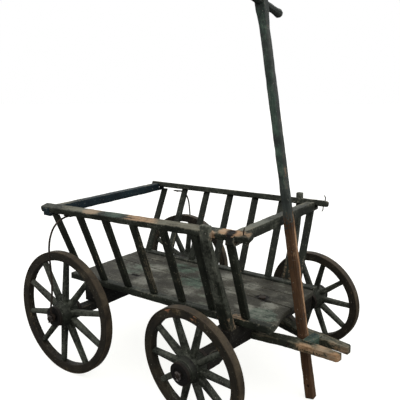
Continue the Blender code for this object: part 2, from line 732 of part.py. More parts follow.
def fork_outline(side, grow=0.0):
    """Plan outline of one fork arm; grow widens it to cut the notch that holds it."""
    slot = FORK_SLOT / 2 - grow
    points = [
        (FORK_TAIL, FORK_TAIL_INNER - grow),
        (FORK_TAIL, FORK_TAIL_OUTER + grow),
        (FORK_BEND_X, FORK_BEND_OUTER + grow),
        (FORK_REACH - FORK_TIP_CHAMFER, FORK_TIP_OUTER + grow),
        (FORK_REACH, FORK_TIP_OUTER - FORK_TIP_CHAMFER),
        (FORK_REACH, slot),
        (FORK_BEND_X, slot),
    ]
    return [(x, side * y) for x, y in points]


def pole_face_x(z, side):
    """Where the pole's rear (-1) or front (+1) face stands at a height, in the steered frame."""
    return POLE_FOOT_X - tan(POLE_LEAN) * z + side * POLE_REACH / cos(POLE_LEAN)


def build_fork(parent):
    bolt_x = pole_face_x(FORK_BOLT_Z + FORK_BOLT_R, -1) - POLE_FREE - FORK_BOLT_R
    for label, side in SIDES:
        name = "fork_arm_" + label
        mesh = plank(name, fork_outline(side), -FORK_H, 0)
        hole = rod_y("hole", FORK_BOLT_R + GAP, 2 * FORK_TAIL_OUTER)
        hole.transform(Matrix.Translation((bolt_x, 0, FORK_BOLT_Z - FORK_TOP)))
        mesh = combine(name, mesh, hole, "DIFFERENCE")
        place(name, mesh, "worn_wood", parent, (0, 0, FORK_TOP))
    bolt = rod_y("fork_bolt", FORK_BOLT_R, 2 * (FORK_BEND_OUTER + FORK_BOLT_PROUD))
    place("fork_bolt", bolt, "rusty_iron", parent, (bolt_x, 0, FORK_BOLT_Z))
    build_cleat(parent)


def rod_y(name, radius, length, sides=ROD_SIDES):
    profile = [(0, -length / 2), (radius, -length / 2), (radius, length / 2), (0, length / 2)]
    return lathe(name, profile, sides)


def build_cleat(parent):
    """Cross cleat over both arms with a tongue between them, just ahead of the pole."""
    rear = pole_face_x(FORK_TOP, 1) + POLE_FREE
    tongue_rear = pole_face_x(FORK_BOTTOM, 1) + POLE_FREE - rear
    plate = box("fork_cleat", (0, -CLEAT_W / 2, GAP), (CLEAT_LENGTH, CLEAT_W / 2, CLEAT_T))
    half_slot = FORK_SLOT / 2 - GAP
    tongue = box("tongue", (tongue_rear, -half_slot, -FORK_H), (CLEAT_LENGTH, half_slot, CLEAT_T / 2))
    mesh = combine("fork_cleat", plate, tongue, "UNION")
    place("fork_cleat", mesh, "teal_paint", parent, (rear, 0, FORK_TOP))


def build_drawbar(parent):
    drawbar = empty("drawbar", (POLE_FOOT_X, 0, 0), (0, -POLE_LEAN, 0), parent)
    foot = POLE_REACH * tan(POLE_LEAN)
    head = POLE_LENGTH - POLE_HEAD_LENGTH
    rows = [  # distance up the pole, side, chamfer
        (foot, POLE_SIDE, POLE_EDGE),
        (POLE_CHAMFER_FROM, POLE_SIDE, POLE_EDGE),
        (POLE_CHAMFER_FROM + POLE_RUN_OUT, POLE_SIDE, POLE_CHAMFER),
        (head - 2 * POLE_RUN_OUT, POLE_SIDE, POLE_CHAMFER),
        (head - POLE_RUN_OUT, POLE_SIDE, POLE_EDGE),
        (head, POLE_HEAD_SIDE, POLE_EDGE),
        (POLE_LENGTH, POLE_HEAD_SIDE, POLE_EDGE),
    ]
    rings = [[(a, b, up) for a, b in rectangle(size / 2, size / 2, cut)] for up, size, cut in rows]
    mesh = loft("pole", rings)
    grip_up = POLE_LENGTH - GRIP_BELOW_TOP
    for up, radius, tilt in ((grip_up, GRIP_R + GAP, GRIP_TILT), (POLE_PIN_HOLE, POLE_PIN_R, 0)):
        hole = rod_y("hole", radius, 2 * POLE_HEAD_SIDE, GRIP_SIDES)
        hole.transform(Matrix.Translation((0, 0, up)) @ Matrix.Rotation(-tilt, 4, "X"))
        mesh = combine("pole", mesh, hole, "DIFFERENCE")
    place("pole", mesh, "brown_wood", drawbar, (0, 0, 0), (0, 0, POLE_TWIST))
    half = GRIP_LENGTH / 2
    flare = half - GRIP_FLARE
    edge = GRIP_END_R / 2
    profile = [(0, -half), (edge, -half), (GRIP_END_R, -half + edge), (GRIP_END_R, -half + 2 * edge),
               (GRIP_R, -flare), (GRIP_R, flare), (GRIP_END_R, half - 2 * edge),
               (GRIP_END_R, half - edge), (edge, half), (0, half)]
    mesh = lathe("grip", profile, GRIP_SIDES)
    place("grip", mesh, "dark_wood", drawbar, (0, 0, grip_up), (-GRIP_TILT, 0, POLE_TWIST))


def build_cart():
    clear_scene()
    cart = empty("cart", (-MIDDLE_X, 0, 0))
    build_floor(cart)
    build_lower_rails(cart)
    build_top_rails(cart)
    build_cross_bars(cart)
    build_rungs(cart)
    build_stakes(cart)
    build_bolsters(cart)
    build_rear_axle(cart)
    build_reach(cart)
    build_king_pin(cart)
    build_stays(cart)
    carriage = empty("front_carriage", (WHEELBASE, 0, 0), (0, 0, STEER_REST), cart)
    build_front_beam(carriage)
    build_turning_bolster(carriage)
    build_fork(carriage)
    build_drawbar(carriage)
    ends = [  # name, parent, wheel radius, height of the axle, lean, room for the stay's eye
        ("rear", cart, REAR_WHEEL_R, REAR_WHEEL_R, 0.0, STAY_CLEAR + STAY_EYE_T),
        ("front", carriage, FRONT_WHEEL_R, FRONT_AXLE_Z, FRONT_LEAN, 0.0),
    ]
    for end, parent, radius, axle_z, lean, eye_room in ends:
        meshes = wheel_meshes(radius)
        for label, side in SIDES:
            name = "%s_%s" % (end, label)
            axle = empty("wheel_" + name, (0, side * WHEEL_MIDDLE_Y, axle_z), (lean, 0, 0), parent)
            build_axle_arm("axle_arm_" + name, axle, side, lean, eye_room)
            build_wheel(name, axle, side, meshes)


build_cart()
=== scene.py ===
# Old hand-drawn ladder wagon: worn timbers, green paint, spoked wheels with iron tyres.
# Metres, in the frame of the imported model: +X towards the fork, +Y to the wagon's left.
import json
from math import atan2, cos, pi, radians, sin

import bmesh
import bpy
from mathutils import Matrix, Vector, noise
from mathutils.kdtree import KDTree


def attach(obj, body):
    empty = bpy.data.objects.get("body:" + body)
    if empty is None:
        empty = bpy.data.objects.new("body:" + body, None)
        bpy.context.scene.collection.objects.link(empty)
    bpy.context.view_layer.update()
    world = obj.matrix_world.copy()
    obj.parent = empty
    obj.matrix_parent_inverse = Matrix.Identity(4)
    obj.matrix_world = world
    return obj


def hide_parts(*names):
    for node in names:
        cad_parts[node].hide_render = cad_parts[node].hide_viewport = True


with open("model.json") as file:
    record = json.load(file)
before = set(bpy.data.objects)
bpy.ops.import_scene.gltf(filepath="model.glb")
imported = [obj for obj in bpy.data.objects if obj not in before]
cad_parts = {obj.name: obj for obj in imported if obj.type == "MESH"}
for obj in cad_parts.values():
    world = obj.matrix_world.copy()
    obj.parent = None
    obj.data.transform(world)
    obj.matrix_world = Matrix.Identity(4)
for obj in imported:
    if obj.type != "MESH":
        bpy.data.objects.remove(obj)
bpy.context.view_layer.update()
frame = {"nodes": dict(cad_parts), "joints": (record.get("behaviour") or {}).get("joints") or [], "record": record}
nodes = frame["nodes"]
scene = bpy.context.scene
bodyOf = {node: body for body, members in frame["record"]["behaviour"]["bodies"].items()
          for node in members}
jointTo = {joint["child"]: joint for joint in frame["joints"]}

studio = {
    "cameraAt": (1.0490, -1.5034, 0.9848), "heading": 125.181, "pitch": -10.933,
    "lens": 44.96, "sensor": 36.0,
    "horizon": 1.0, "zenith": 1.5, "below": 0.16,  # brightness of the surroundings
    "upperBand": (0.2, 0.95), "lowerBand": (-0.10, -0.02),  # where it changes, as the z of a direction
    "floorSize": 300, "floorColour": "#9a9a98", "floorGlow": 2.5,
    "lightAt": (2.2, -0.4, 2.3), "lightAim": (0, 0, 0.3), "lightSize": (2.6, 1.8), "lightPower": 24,
}


# An sRGB hex colour as linear red, green, blue and alpha
def linear(hexColour):
    channels = [int(hexColour[i:i + 2], 16) / 255 for i in (1, 3, 5)]
    return (*[c / 12.92 if c <= 0.04045 else ((c + 0.055) / 1.055) ** 2.4 for c in channels], 1.0)


def addNode(tree, kind, values=None, links=None, stops=None, **settings):
    node = tree.nodes.new("ShaderNode" + kind)
    for key, value in settings.items():
        setattr(node, key, value)
    for key, value in (values or {}).items():
        node.inputs[key].default_value = value
    for key, source in (links or {}).items():
        tree.links.new(source, node.inputs[key])
    if stops:  # colour stops as (position, sRGB hex)
        while len(node.color_ramp.elements) < len(stops):
            node.color_ramp.elements.new(0.5)
        for element, (position, colour) in zip(node.color_ramp.elements, stops):
            element.position = position
            element.color = linear(colour)
    return node


def emptyMaterial(name):
    material = bpy.data.materials.new(name)
    material.use_nodes = True
    material.node_tree.nodes.clear()
    return material, material.node_tree


# Camera, floor and light

def buildStudio():
    heading, pitch = radians(studio["heading"]), radians(studio["pitch"])
    look = Vector((cos(heading) * cos(pitch), sin(heading) * cos(pitch), sin(pitch)))
    cameraData = bpy.data.cameras.new("camera")
    cameraData.lens = studio["lens"]
    cameraData.sensor_width = studio["sensor"]
    cameraData.clip_start = 0.05
    camera = bpy.data.objects.new("camera", cameraData)
    camera.location = studio["cameraAt"]
    camera.rotation_euler = look.to_track_quat("-Z", "Y").to_euler()
    scene.collection.objects.link(camera)
    scene.camera = camera

    bm = bmesh.new()
    bmesh.ops.create_grid(bm, x_segments=1, y_segments=1, size=studio["floorSize"])
    mesh = bpy.data.meshes.new("studioFloor")
    bm.to_mesh(mesh)
    bm.free()
    ground = bpy.data.objects.new("studioFloor", mesh)
    material, tree = emptyMaterial("paleStudioFloor")
    shader = addNode(tree, "BsdfPrincipled", {
        "Base Color": linear(studio["floorColour"]), "Roughness": 0.9, "Specular IOR Level": 0.1,
        "Emission Color": linear(studio["floorColour"]), "Emission Strength": studio["floorGlow"]})
    addNode(tree, "OutputMaterial", links={"Surface": shader.outputs[0]})
    mesh.materials.append(material)
    scene.collection.objects.link(ground)
    ground.visible_diffuse = False  # keeps the undersides as dark as in the photograph
    ground.visible_glossy = False

    world = bpy.data.worlds.new("softStudio")
    world.use_nodes = True
    tree = world.node_tree
    tree.nodes.clear()
    direction = addNode(tree, "TexCoord")
    split = addNode(tree, "SeparateXYZ", links={0: direction.outputs["Generated"]})
    height = split.outputs["Z"]
    low, high = studio["upperBand"]
    upper = addNode(tree, "MapRange", {"From Min": low, "From Max": high, "To Min": studio["horizon"],
                                       "To Max": studio["zenith"]}, {"Value": height})
    low, high = studio["lowerBand"]
    lower = addNode(tree, "MapRange", {"From Min": low, "From Max": high, "To Min": studio["below"],
                                       "To Max": 1.0}, {"Value": height})
    both = addNode(tree, "Math", links={0: upper.outputs[0], 1: lower.outputs[0]},
                   operation="MULTIPLY")
    background = addNode(tree, "Background", {"Color": (1, 1, 1, 1)},
                         {"Strength": both.outputs[0]})
    addNode(tree, "OutputWorld", links={"Surface": background.outputs[0]})
    scene.world = world
    scene.view_settings.view_transform = "Standard"

    lightData = bpy.data.lights.new("softboxOverhead", "AREA")
    lightData.shape = "RECTANGLE"
    lightData.size, lightData.size_y = studio["lightSize"]
    lightData.energy = studio["lightPower"]
    light = bpy.data.objects.new("softboxOverhead", lightData)
    light.location = studio["lightAt"]
    aim = Vector(studio["lightAim"]) - light.location
    light.rotation_euler = aim.to_track_quat("-Z", "Y").to_euler()
    scene.collection.objects.link(light)


buildStudio()
print("studio ready")


# Finishes. The timbers carry attributes: grain (metres along and across the timber), and from
# 0 to 1 bare (paint gone), fresh (pale wood, not grey), teal (older coat), dust, and dirt, which also carries
# painted shade on the faces that look down.

wearNames = ("bare", "fresh", "teal", "dust", "dirtAndShade")


# paint, wood, pale and teal are three sRGB colours each: dark, middle and light
def agedTimber(name, paint, wood, pale, paintRoughness=0.66, relief=1.0,
               teal=("#1c2822", "#2b3a32", "#45584b"), dust="#6d6f64"):
    material, tree = emptyMaterial(name)
    marks = {key: addNode(tree, "Attribute", attribute_name=key) for key in ("grain", *wearNames)}
    place = addNode(tree, "TexCoord")
    # Ash and beech show pores 1 to 3 mm apart that run 50 to 100 mm
    alongGrain = addNode(tree, "Mapping", {"Scale": (14, 430, 430)},
                         {"Vector": marks["grain"].outputs["Vector"]})
    fibre = addNode(tree, "TexNoise", {"Scale": 1.0, "Detail": 5.0, "Roughness": 0.6},
                    {"Vector": alongGrain.outputs[0]})
    wideGrain = addNode(tree, "Mapping", {"Scale": (6, 80, 80)},
                        {"Vector": marks["grain"].outputs["Vector"]})
    band = addNode(tree, "TexNoise", {"Scale": 1.0, "Detail": 4.0, "Roughness": 0.55},
                   {"Vector": wideGrain.outputs[0]})
    blotch = addNode(tree, "TexNoise", {"Scale": 16.0, "Detail": 4.0, "Roughness": 0.6},
                     {"Vector": place.outputs["Object"]})
    flake = addNode(tree, "TexNoise", {"Scale": 120.0, "Detail": 5.0, "Roughness": 0.65},
                    {"Vector": place.outputs["Object"]})

    # Mask where an attribute passes one half, once the noises have broken it up
    def broken(key, blotchShare, flakeShare, bandShare, soft):
        total = marks[key].outputs["Fac"]
        middle = 0.5 + 0.5 * (blotchShare + flakeShare + bandShare)
        for source, share in ((blotch, blotchShare), (flake, flakeShare), (band, bandShare)):
            step = addNode(tree, "Math", {1: share}, {0: source.outputs[0], 2: total},
                           operation="MULTIPLY_ADD")
            total = step.outputs[0]
        edge = {"From Min": middle - soft, "From Max": middle + soft}
        return addNode(tree, "MapRange", edge, {"Value": total}).outputs[0]

    def tones(parts, stops):
        total = None
        for source, share in parts:
            values, links = {1: share}, {0: source.outputs[0]}
            if total:
                links[2] = total
            else:
                values[2] = 0.0
            total = addNode(tree, "Math", values, links, operation="MULTIPLY_ADD").outputs[0]
        return addNode(tree, "ValToRGB", links={0: total}, stops=stops).outputs[0]

    gone = broken("bare", 0.6, 1.5, 1.0, 0.07)
    freshHere = broken("fresh", 1.2, 0.8, 0.3, 0.16)
    tealHere = broken("teal", 1.0, 1.0, 0.4, 0.08)
    dusty = broken("dust", 0.8, 1.2, 0.8, 0.30)
    dirtAndShadeMask = broken("dirtAndShade", 0.7, 0.8, 0.3, 0.22)
    # Chips and lime spots 2 to 4 mm across, drawn a little coarser than the real ones
    chip = addNode(tree, "TexNoise", {"Scale": 170.0, "Detail": 2.0, "Roughness": 0.5},
                   {"Vector": place.outputs["Object"]})
    chipped = addNode(tree, "MapRange", {"From Min": 0.685, "From Max": 0.73, "To Max": 0.45},
                      {"Value": chip.outputs[0]})
    paintMix = ((blotch, 0.6), (fibre, 0.4))
    woodMix = ((fibre, 0.45), (band, 0.35), (blotch, 0.2))
    paintColour = tones(paintMix, list(zip((0.36, 0.50, 0.66), paint)))
    tealColour = tones(paintMix, list(zip((0.36, 0.50, 0.66), teal)))
    woodColour = tones(woodMix, list(zip((0.36, 0.50, 0.64), wood)))
    paleColour = tones(woodMix, list(zip((0.36, 0.50, 0.64), pale)))

    coat = addNode(tree, "Mix", links={0: tealHere, 6: paintColour, 7: tealColour}, data_type="RGBA")
    timber = addNode(tree, "Mix", links={0: freshHere, 6: woodColour, 7: paleColour}, data_type="RGBA")
    colour = addNode(tree, "Mix", links={0: gone, 6: coat.outputs[2], 7: timber.outputs[2]},
                     data_type="RGBA").outputs[2]
    dustShare = addNode(tree, "Math", {1: 0.55}, {0: dusty}, operation="MULTIPLY")
    # Over both: dust, pale chips, then black dirt and painted shade
    for share, over in ((dustShare.outputs[0], dust), (chipped.outputs[0], "#8f8c80"), (dirtAndShadeMask, "#0b0907")):
        colour = addNode(tree, "Mix", {7: linear(over)}, {0: share, 6: colour}, data_type="RGBA").outputs[2]
    roughness = addNode(tree, "MapRange", {"To Min": paintRoughness, "To Max": 0.9}, {"Value": gone})
    # Open grain stands 0.2 mm deep, the flaked paint a tenth of a millimetre proud
    height = addNode(tree, "Math", {1: -0.35}, {0: gone, 2: fibre.outputs[0]}, operation="MULTIPLY_ADD")
    rough = addNode(tree, "Math", {1: 0.5}, {0: flake.outputs[0], 2: height.outputs[0]},
                    operation="MULTIPLY_ADD")
    bump = addNode(tree, "Bump", {"Strength": 0.55 * relief, "Distance": 0.0012},
                   {"Height": rough.outputs[0]})
    shader = addNode(tree, "BsdfPrincipled", {"IOR": 1.5, "Specular IOR Level": 0.2},
                     {"Base Color": colour, "Roughness": roughness.outputs[0],
                      "Normal": bump.outputs[0]})
    addNode(tree, "OutputMaterial", links={"Surface": shader.outputs[0]})
    return material


# tones are sRGB colours from the darkest scale to the brightest rust or rubbed metal
def rustedIron(name, tones, metallic=0.55, roughness=(0.5, 0.8)):
    material, tree = emptyMaterial(name)
    place = addNode(tree, "TexCoord")
    patch = addNode(tree, "TexNoise", {"Scale": 22.0, "Detail": 6.0, "Roughness": 0.62},
                    {"Vector": place.outputs["Object"]})
    pits = addNode(tree, "TexNoise", {"Scale": 260.0, "Detail": 4.0, "Roughness": 0.6},
                   {"Vector": place.outputs["Object"]})
    tone = addNode(tree, "Math", {1: 0.68}, {0: patch.outputs[0]}, operation="MULTIPLY_ADD")
    share = addNode(tree, "Math", {1: 0.32}, {0: pits.outputs[0]}, operation="MULTIPLY")
    tree.links.new(share.outputs[0], tone.inputs[2])
    steps = [0.34 + 0.34 * i / (len(tones) - 1) for i in range(len(tones))]
    colour = addNode(tree, "ValToRGB", links={0: tone.outputs[0]}, stops=list(zip(steps, tones)))
    rough = addNode(tree, "MapRange", {"From Min": 0.35, "From Max": 0.65,
                                       "To Min": roughness[0], "To Max": roughness[1]},
                    {"Value": tone.outputs[0]})
    bump = addNode(tree, "Bump", {"Strength": 0.5, "Distance": 0.0008}, {"Height": pits.outputs[0]})
    shader = addNode(tree, "BsdfPrincipled", {"Metallic": metallic, "Specular IOR Level": 0.3},
                     {"Base Color": colour.outputs[0], "Roughness": rough.outputs[0],
                      "Normal": bump.outputs[0]})
    addNode(tree, "OutputMaterial", links={"Surface": shader.outputs[0]})
    return material


finishes = {
    # Linseed oil paint on ash, decades outdoors: dull, nearly black green that rubs off on the edges
    "greenPaint": agedTimber("oldDarkGreenOilPaint", ("#0f120c", "#1a1d15", "#2b2f26"),
                             ("#28241b", "#484236", "#69624f"), ("#5d4530", "#8e7054", "#b2957a")),
    # The blue-green coat that is left on the rear bar and the cleat
    "tealPaint": agedTimber("oldTealOilPaint", ("#040f14", "#08181e", "#11272d"),
                            ("#28271f", "#454338", "#6a6657"), ("#5d4a36", "#8a7055", "#a68d72")),
    # Spruce boards gone grey-green, with dirt in the grain and scratches
    "greyBoards": agedTimber("weatheredGreyBoards", ("#211f18", "#302f27", "#413f35"),
                             ("#26251f", "#38362e", "#4b493f"), ("#4a4539", "#666152", "#868072"),
                             paintRoughness=0.7, relief=1.2, dust="#8b8b80",
                             teal=("#1f2a21", "#2d3a30", "#475749")),
    # Beech felloes, oiled and handled: dark brown and olive, warmer wood where they are rubbed
    "brownWood": agedTimber("oiledBrownBeech", ("#13110b", "#211d15", "#332d21"),
                            ("#282014", "#41351f", "#5e4e34"), ("#5f3a2a", "#885c46", "#a97f62")),
    # Ash pole: grey-green paint above, red-brown wood where hands and the bar have rubbed it
    "poleWood": agedTimber("handledAshPole", ("#1c211e", "#2b302d", "#41443f"),
                           ("#2b1e13", "#432f1e", "#5f4630"), ("#64462e", "#8a694c", "#b09778")),
    # Oak beams under the floor, dirty and almost black
    "darkWood": agedTimber("blackenedOak", ("#0c0b08", "#15130e", "#201d17"),
                           ("#1b1711", "#2e2820", "#453c30"), ("#46341f", "#69513a", "#8a7252")),
    # Fork arms: the paint is nearly gone and the wood is olive grey with tan places
    "wornWood": agedTimber("rubbedBareAsh", ("#171912", "#25271d", "#363629"),
                           ("#2e2a1f", "#4a4435", "#6a604b"), ("#634830", "#8c6d4e", "#b39676")),
    # Forged iron, brown with rust and dull from weather
    "rustyIron": rustedIron("weatheredForgedIron", ("#13100d", "#241e19", "#352c24", "#4e3d30")),
    # Hub hoops under old grease and dust
    "greasyIron": rustedIron("greasyHubIron", ("#0b0907", "#16120e", "#221b15", "#3a2f26"),
                             metallic=0.3, roughness=(0.55, 0.8)),
    # Rolled iron tyre: dust and rust over worn metal
    "tyreIron": rustedIron("rolledTyreIron", ("#1f1a13", "#322a1f", "#453c2e", "#5d5140"),
                           metallic=0.35, roughness=(0.55, 0.85)),
    # Nuts and pins that turning hubs keep bright
    "rubbedIron": rustedIron("rubbedIron", ("#2a2725", "#4b4643", "#8b8480", "#c9c2bb"),
                             metallic=0.85, roughness=(0.3, 0.55)),
}
print("finishes ready")


# Wear, in the wagon's own places: point, reach, the side it faces, and what is added there
top = (0, 0, 1)
wornPlaces = [
    ((-0.330, -0.325, 0.617), 0.090, top, {"bare": 0.35, "dust": 0.25}),  # near rail, grey rear end
    ((-0.241, -0.322, 0.617), 0.060, top, {"bare": 0.45, "fresh": 0.5, "dust": 0.3}),  # pink-tan patch
    ((-0.140, -0.320, 0.617), 0.075, top, {"teal": 0.75, "bare": -0.1}),  # green behind the middle
    ((-0.020, -0.317, 0.617), 0.100, top, {"bare": 0.50, "fresh": 0.60}),
    ((0.130, -0.313, 0.620), 0.120, top, {"bare": 0.50, "dust": 0.30}),  # grey towards the stake
    ((0.252, -0.325, 0.605), 0.022, None, {"bare": 0.6, "fresh": 0.9}),  # orange beside the stake
    ((0.315, -0.305, 0.622), 0.050, top, {"bare": 0.7, "fresh": 0.75}),  # near rail's front tail
    ((0.385, -0.303, 0.622), 0.035, top, {"bare": 0.6, "fresh": 0.5}),
    ((0.318, -0.335, 0.600), 0.030, None, {"dirtAndShade": 0.7}),  # bar's end under the tail
    ((0.318, -0.308, 0.622), 0.026, None, {"dirtAndShade": 0.8, "bare": -0.5}),  # rail over the bar
    ((0.300, -0.180, 0.614), 0.120, top, {"dust": 0.45}),  # drips along the front bar
    ((-0.054, 0.006, 0.303), 0.100, None, {"teal": 0.30}),  # floor, green at the left
    ((-0.164, 0.100, 0.303), 0.080, None, {"teal": 0.30}),
    ((-0.340, -0.020, 0.303), 0.090, None, {"teal": 0.20, "dust": 0.2}),
    ((-0.260, 0.039, 0.303), 0.060, None, {"dust": 0.50}),  # pale scratches
    ((-0.200, -0.110, 0.303), 0.060, None, {"dust": 0.55}),
    ((-0.020, -0.110, 0.303), 0.070, None, {"dust": 0.45}),
    ((0.037, 0.120, 0.303), 0.060, None, {"dust": 0.50}),
    ((0.168, 0.082, 0.303), 0.050, None, {"dust": 0.55}),
    ((0.120, -0.010, 0.303), 0.050, None, {"dust": 0.45}),
    ((0.310, -0.050, 0.303), 0.040, None, {"dust": 0.60}),
    ((0.250, -0.104, 0.303), 0.040, None, {"dust": 0.50}),
    ((0.329, -0.129, 0.303), 0.070, None, {"teal": 0.65, "dust": 0.3}),  # floor, front corner
    ((0.160, 0.060, 0.303), 0.140, None, {"bare": 0.35, "teal": -0.4}),
    ((0.225, 0.060, 0.303), 0.080, None, {"dirtAndShade": 0.25}),
    ((0.262, 0.004, 0.303), 0.034, None, {"dirtAndShade": 0.65}),  # broken wood at the king pin
    ((0.280, -0.201, 0.310), 0.045, top, {"bare": 0.40, "fresh": 0.6, "dust": 0.2}),  # by the last rung
    ((0.525, -0.080, 0.205), 0.050, None, {"bare": 0.33, "fresh": 0.40, "dust": 0.3}),  # near fork tip
    ((0.572, -0.086, 0.200), 0.035, None, {"bare": 0.50, "fresh": 0.70}),
    ((0.580, -0.026, 0.205), 0.035, None, {"bare": 0.60, "fresh": 0.35, "dust": 0.3}),
    ((0.461, -0.100, 0.212), 0.045, None, {"bare": 0.4, "fresh": 0.45}),
    ((0.550, -0.020, 0.212), 0.045, None, {"bare": 0.4, "fresh": 0.4, "dust": 0.2}),
    ((0.486, -0.035, 0.212), 0.030, None, {"teal": 0.7}),
    ((0.140, -0.394, 0.376), 0.022, None, {"bare": 0.5, "fresh": 0.7}),  # near front felloe
    ((0.180, -0.400, 0.386), 0.035, None, {"bare": 0.5, "fresh": 0.3, "dust": 0.3}),
    ((0.250, -0.407, 0.372), 0.020, None, {"bare": 0.4, "fresh": 0.6}),
]


floorHollows = {
    "top": 0.303, "within": 0.004, "dirtAndShade": 1.1,
    "cuts": (-1.0, -0.66, -0.33, 0.0, 0.33, 0.66, 1.0),  # extra cuts through a board, as shares of a half
    "places": [  # a knot hole and broken wood: x, y, half length, half width, depth
        (-0.275, -0.078, 0.025, 0.010, 0.0055),
        (0.238, 0.004, 0.013, 0.006, 0.0035),
        (0.287, -0.016, 0.021, 0.009, 0.0040)],
}


# Depth of a hollow at a point of the floor's top, and how dark it is
def sunkAt(point, normal):
    if normal.z > 0.8 and abs(point.z - floorHollows["top"]) < floorHollows["within"]:
        for x, y, halfLength, halfWidth, depth in floorHollows["places"]:
            away = Vector(((point.x - x) / halfLength, (point.y - y) / halfWidth)).length
            if away < 1.0:
                return depth * (1 - away ** 2), floorHollows["dirtAndShade"]
    return 0.0, 0.0


# Bare, fresh, teal, dust, and dirt with painted shade at a point: the kind's own, uneven, and what wornPlaces adds
def surfaceWear(point, normal, edge, kind):
    # Patches some 90 mm across, broken up by smaller ones of 26 mm
    slow = noise.noise(point * 11.0)
    quick = noise.noise(point * 38.0 + Vector((3.1, 7.7, 1.3)))
    upward = max(0.0, normal.z)
    marks = {key: kind.get(key, 0.0) for key in wearNames}
    marks["bare"] += kind["edgeBare"] * edge * (0.75 + 0.8 * slow + 0.5 * quick)
    marks["bare"] += kind.get("topBare", 0.0) * upward * (0.75 + 0.9 * slow)
    marks["fresh"] += 0.25 * slow
    marks["teal"] += 0.25 * noise.noise(point * 7.0 + Vector((9.2, 1.4, 5.5)))
    marks["dust"] += 0.15 * upward + 0.15 * quick
    # Faces that look down get darker: painted shade on the undersides, broken up by noise
    marks["dirtAndShade"] += 0.25 * max(0.0, -normal.z) - 0.2 * slow
    if "special" in kind:
        for key, more in kind["special"](point, normal, edge).items():
            marks[key] += more
    for place, reach, faces, added in wornPlaces:
        near = 1 - (point - Vector(place)).length / reach
        if near > 0:
            soft = min(1.0, 1.8 * near)
            if faces:
                soft *= max(0.0, normal.dot(Vector(faces)))
            for key, more in added.items():
                marks[key] += more * soft
    return marks


# Cuts the mesh with planes across a direction, so that its surface can be worn
def cutAcross(bm, direction, step, extra=()):
    reach = [vert.co.dot(direction) for vert in bm.verts]
    low, high = min(reach), max(reach)
    count = int((high - low) / step)
    places = [low + (high - low) * i / (count + 1) for i in range(1, count + 1)]
    for place in sorted(places + list(extra)):
        bmesh.ops.bisect_plane(bm, geom=bm.verts[:] + bm.edges[:] + bm.faces[:], dist=0.00001,
                               plane_co=direction * place, plane_no=direction)


def seedOf(name):
    return Vector((sum(ord(c) * (i + 3) for i, c in enumerate(name)) % 97, len(name), ord(name[-1])))


def putPiece(bm, name, body, finish, replaced=(), smoothAngle=32):
    mesh = bpy.data.meshes.new(name)
    bm.to_mesh(mesh)
    bm.free()
    mesh.shade_smooth()
    mesh.set_sharp_from_angle(angle=radians(smoothAngle))
    mesh.materials.append(finishes[finish])
    piece = bpy.data.objects.new(name, mesh)
    scene.collection.objects.link(piece)
    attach(piece, body)
    if replaced:
        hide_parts(*replaced)


# Grain direction from the longest edge, then the two directions across it
def timberAxes(bm):
    longest = max(bm.edges, key=lambda edge: edge.calc_length())
    along = (longest.verts[1].co - longest.verts[0].co).normalized()
    if along.dot(Vector((1, 1, 1))) < 0:
        along = -along
    beside = [face for face in bm.faces if abs(face.normal.dot(along)) < 0.3]
    across = max(beside, key=lambda face: face.calc_area()).normal.copy()
    across = (across - along * across.dot(along)).normalized()
    return along, across, along.cross(across)


poleRub = {
    "brownTop": 0.66, "fade": 0.10, "tealTop": 0.33, "stripFoot": 0.24,  # heights
    "middleY": -0.0236, "middleLean": 0.0209, "stripEdge": 90,
}


# Grey-green above, brown where the bar and hands rub it, with a paler strip up the far front edge
def poleWear(point, normal, edge):
    low = min(1.0, max(0.0, (poleRub["brownTop"] - point.z) / poleRub["fade"]))
    front = max(0.0, normal.x)
    beyond = point.y - poleRub["middleY"] - poleRub["middleLean"] * point.z  # left of the pole's middle
    strip = low * front * min(1.0, max(0.0, 0.3 + poleRub["stripEdge"] * beyond))
    if point.z <= poleRub["stripFoot"]:
        strip *= 0.4
    teal = 0.30 if point.z < poleRub["tealTop"] else 0.05 + 0.45 * max(0.0, -normal.y) * (1 - low)
    return {"bare": 0.75 * low + 0.15 * front * (1 - low) + 0.2 * strip, "fresh": 0.75 * strip,
            "teal": teal, "dust": 0.15 * (1 - low)}


stakeRub = {"foot": 0.29, "reach": 0.12}


# Dusty grey-green above, worn to brown wood at the foot
def stakeWear(point, normal, edge):
    foot = max(0.0, 1 - (point.z - stakeRub["foot"]) / stakeRub["reach"])
    return {"dust": 0.35 + 0.2 * max(0.0, normal.x) - 0.4 * foot, "bare": 0.40 * foot,
            "fresh": 0.2 * foot}


rungRub = {"height": 0.40, "reach": 0.08}


# Paint rubbed to red-brown wood low down on the front edges
def rungWear(point, normal, edge):
    near = max(0.0, 1 - abs(point.z - rungRub["height"]) / rungRub["reach"])
    return {"bare": 0.45 * edge * max(0.0, normal.x) * near, "fresh": 0.1}


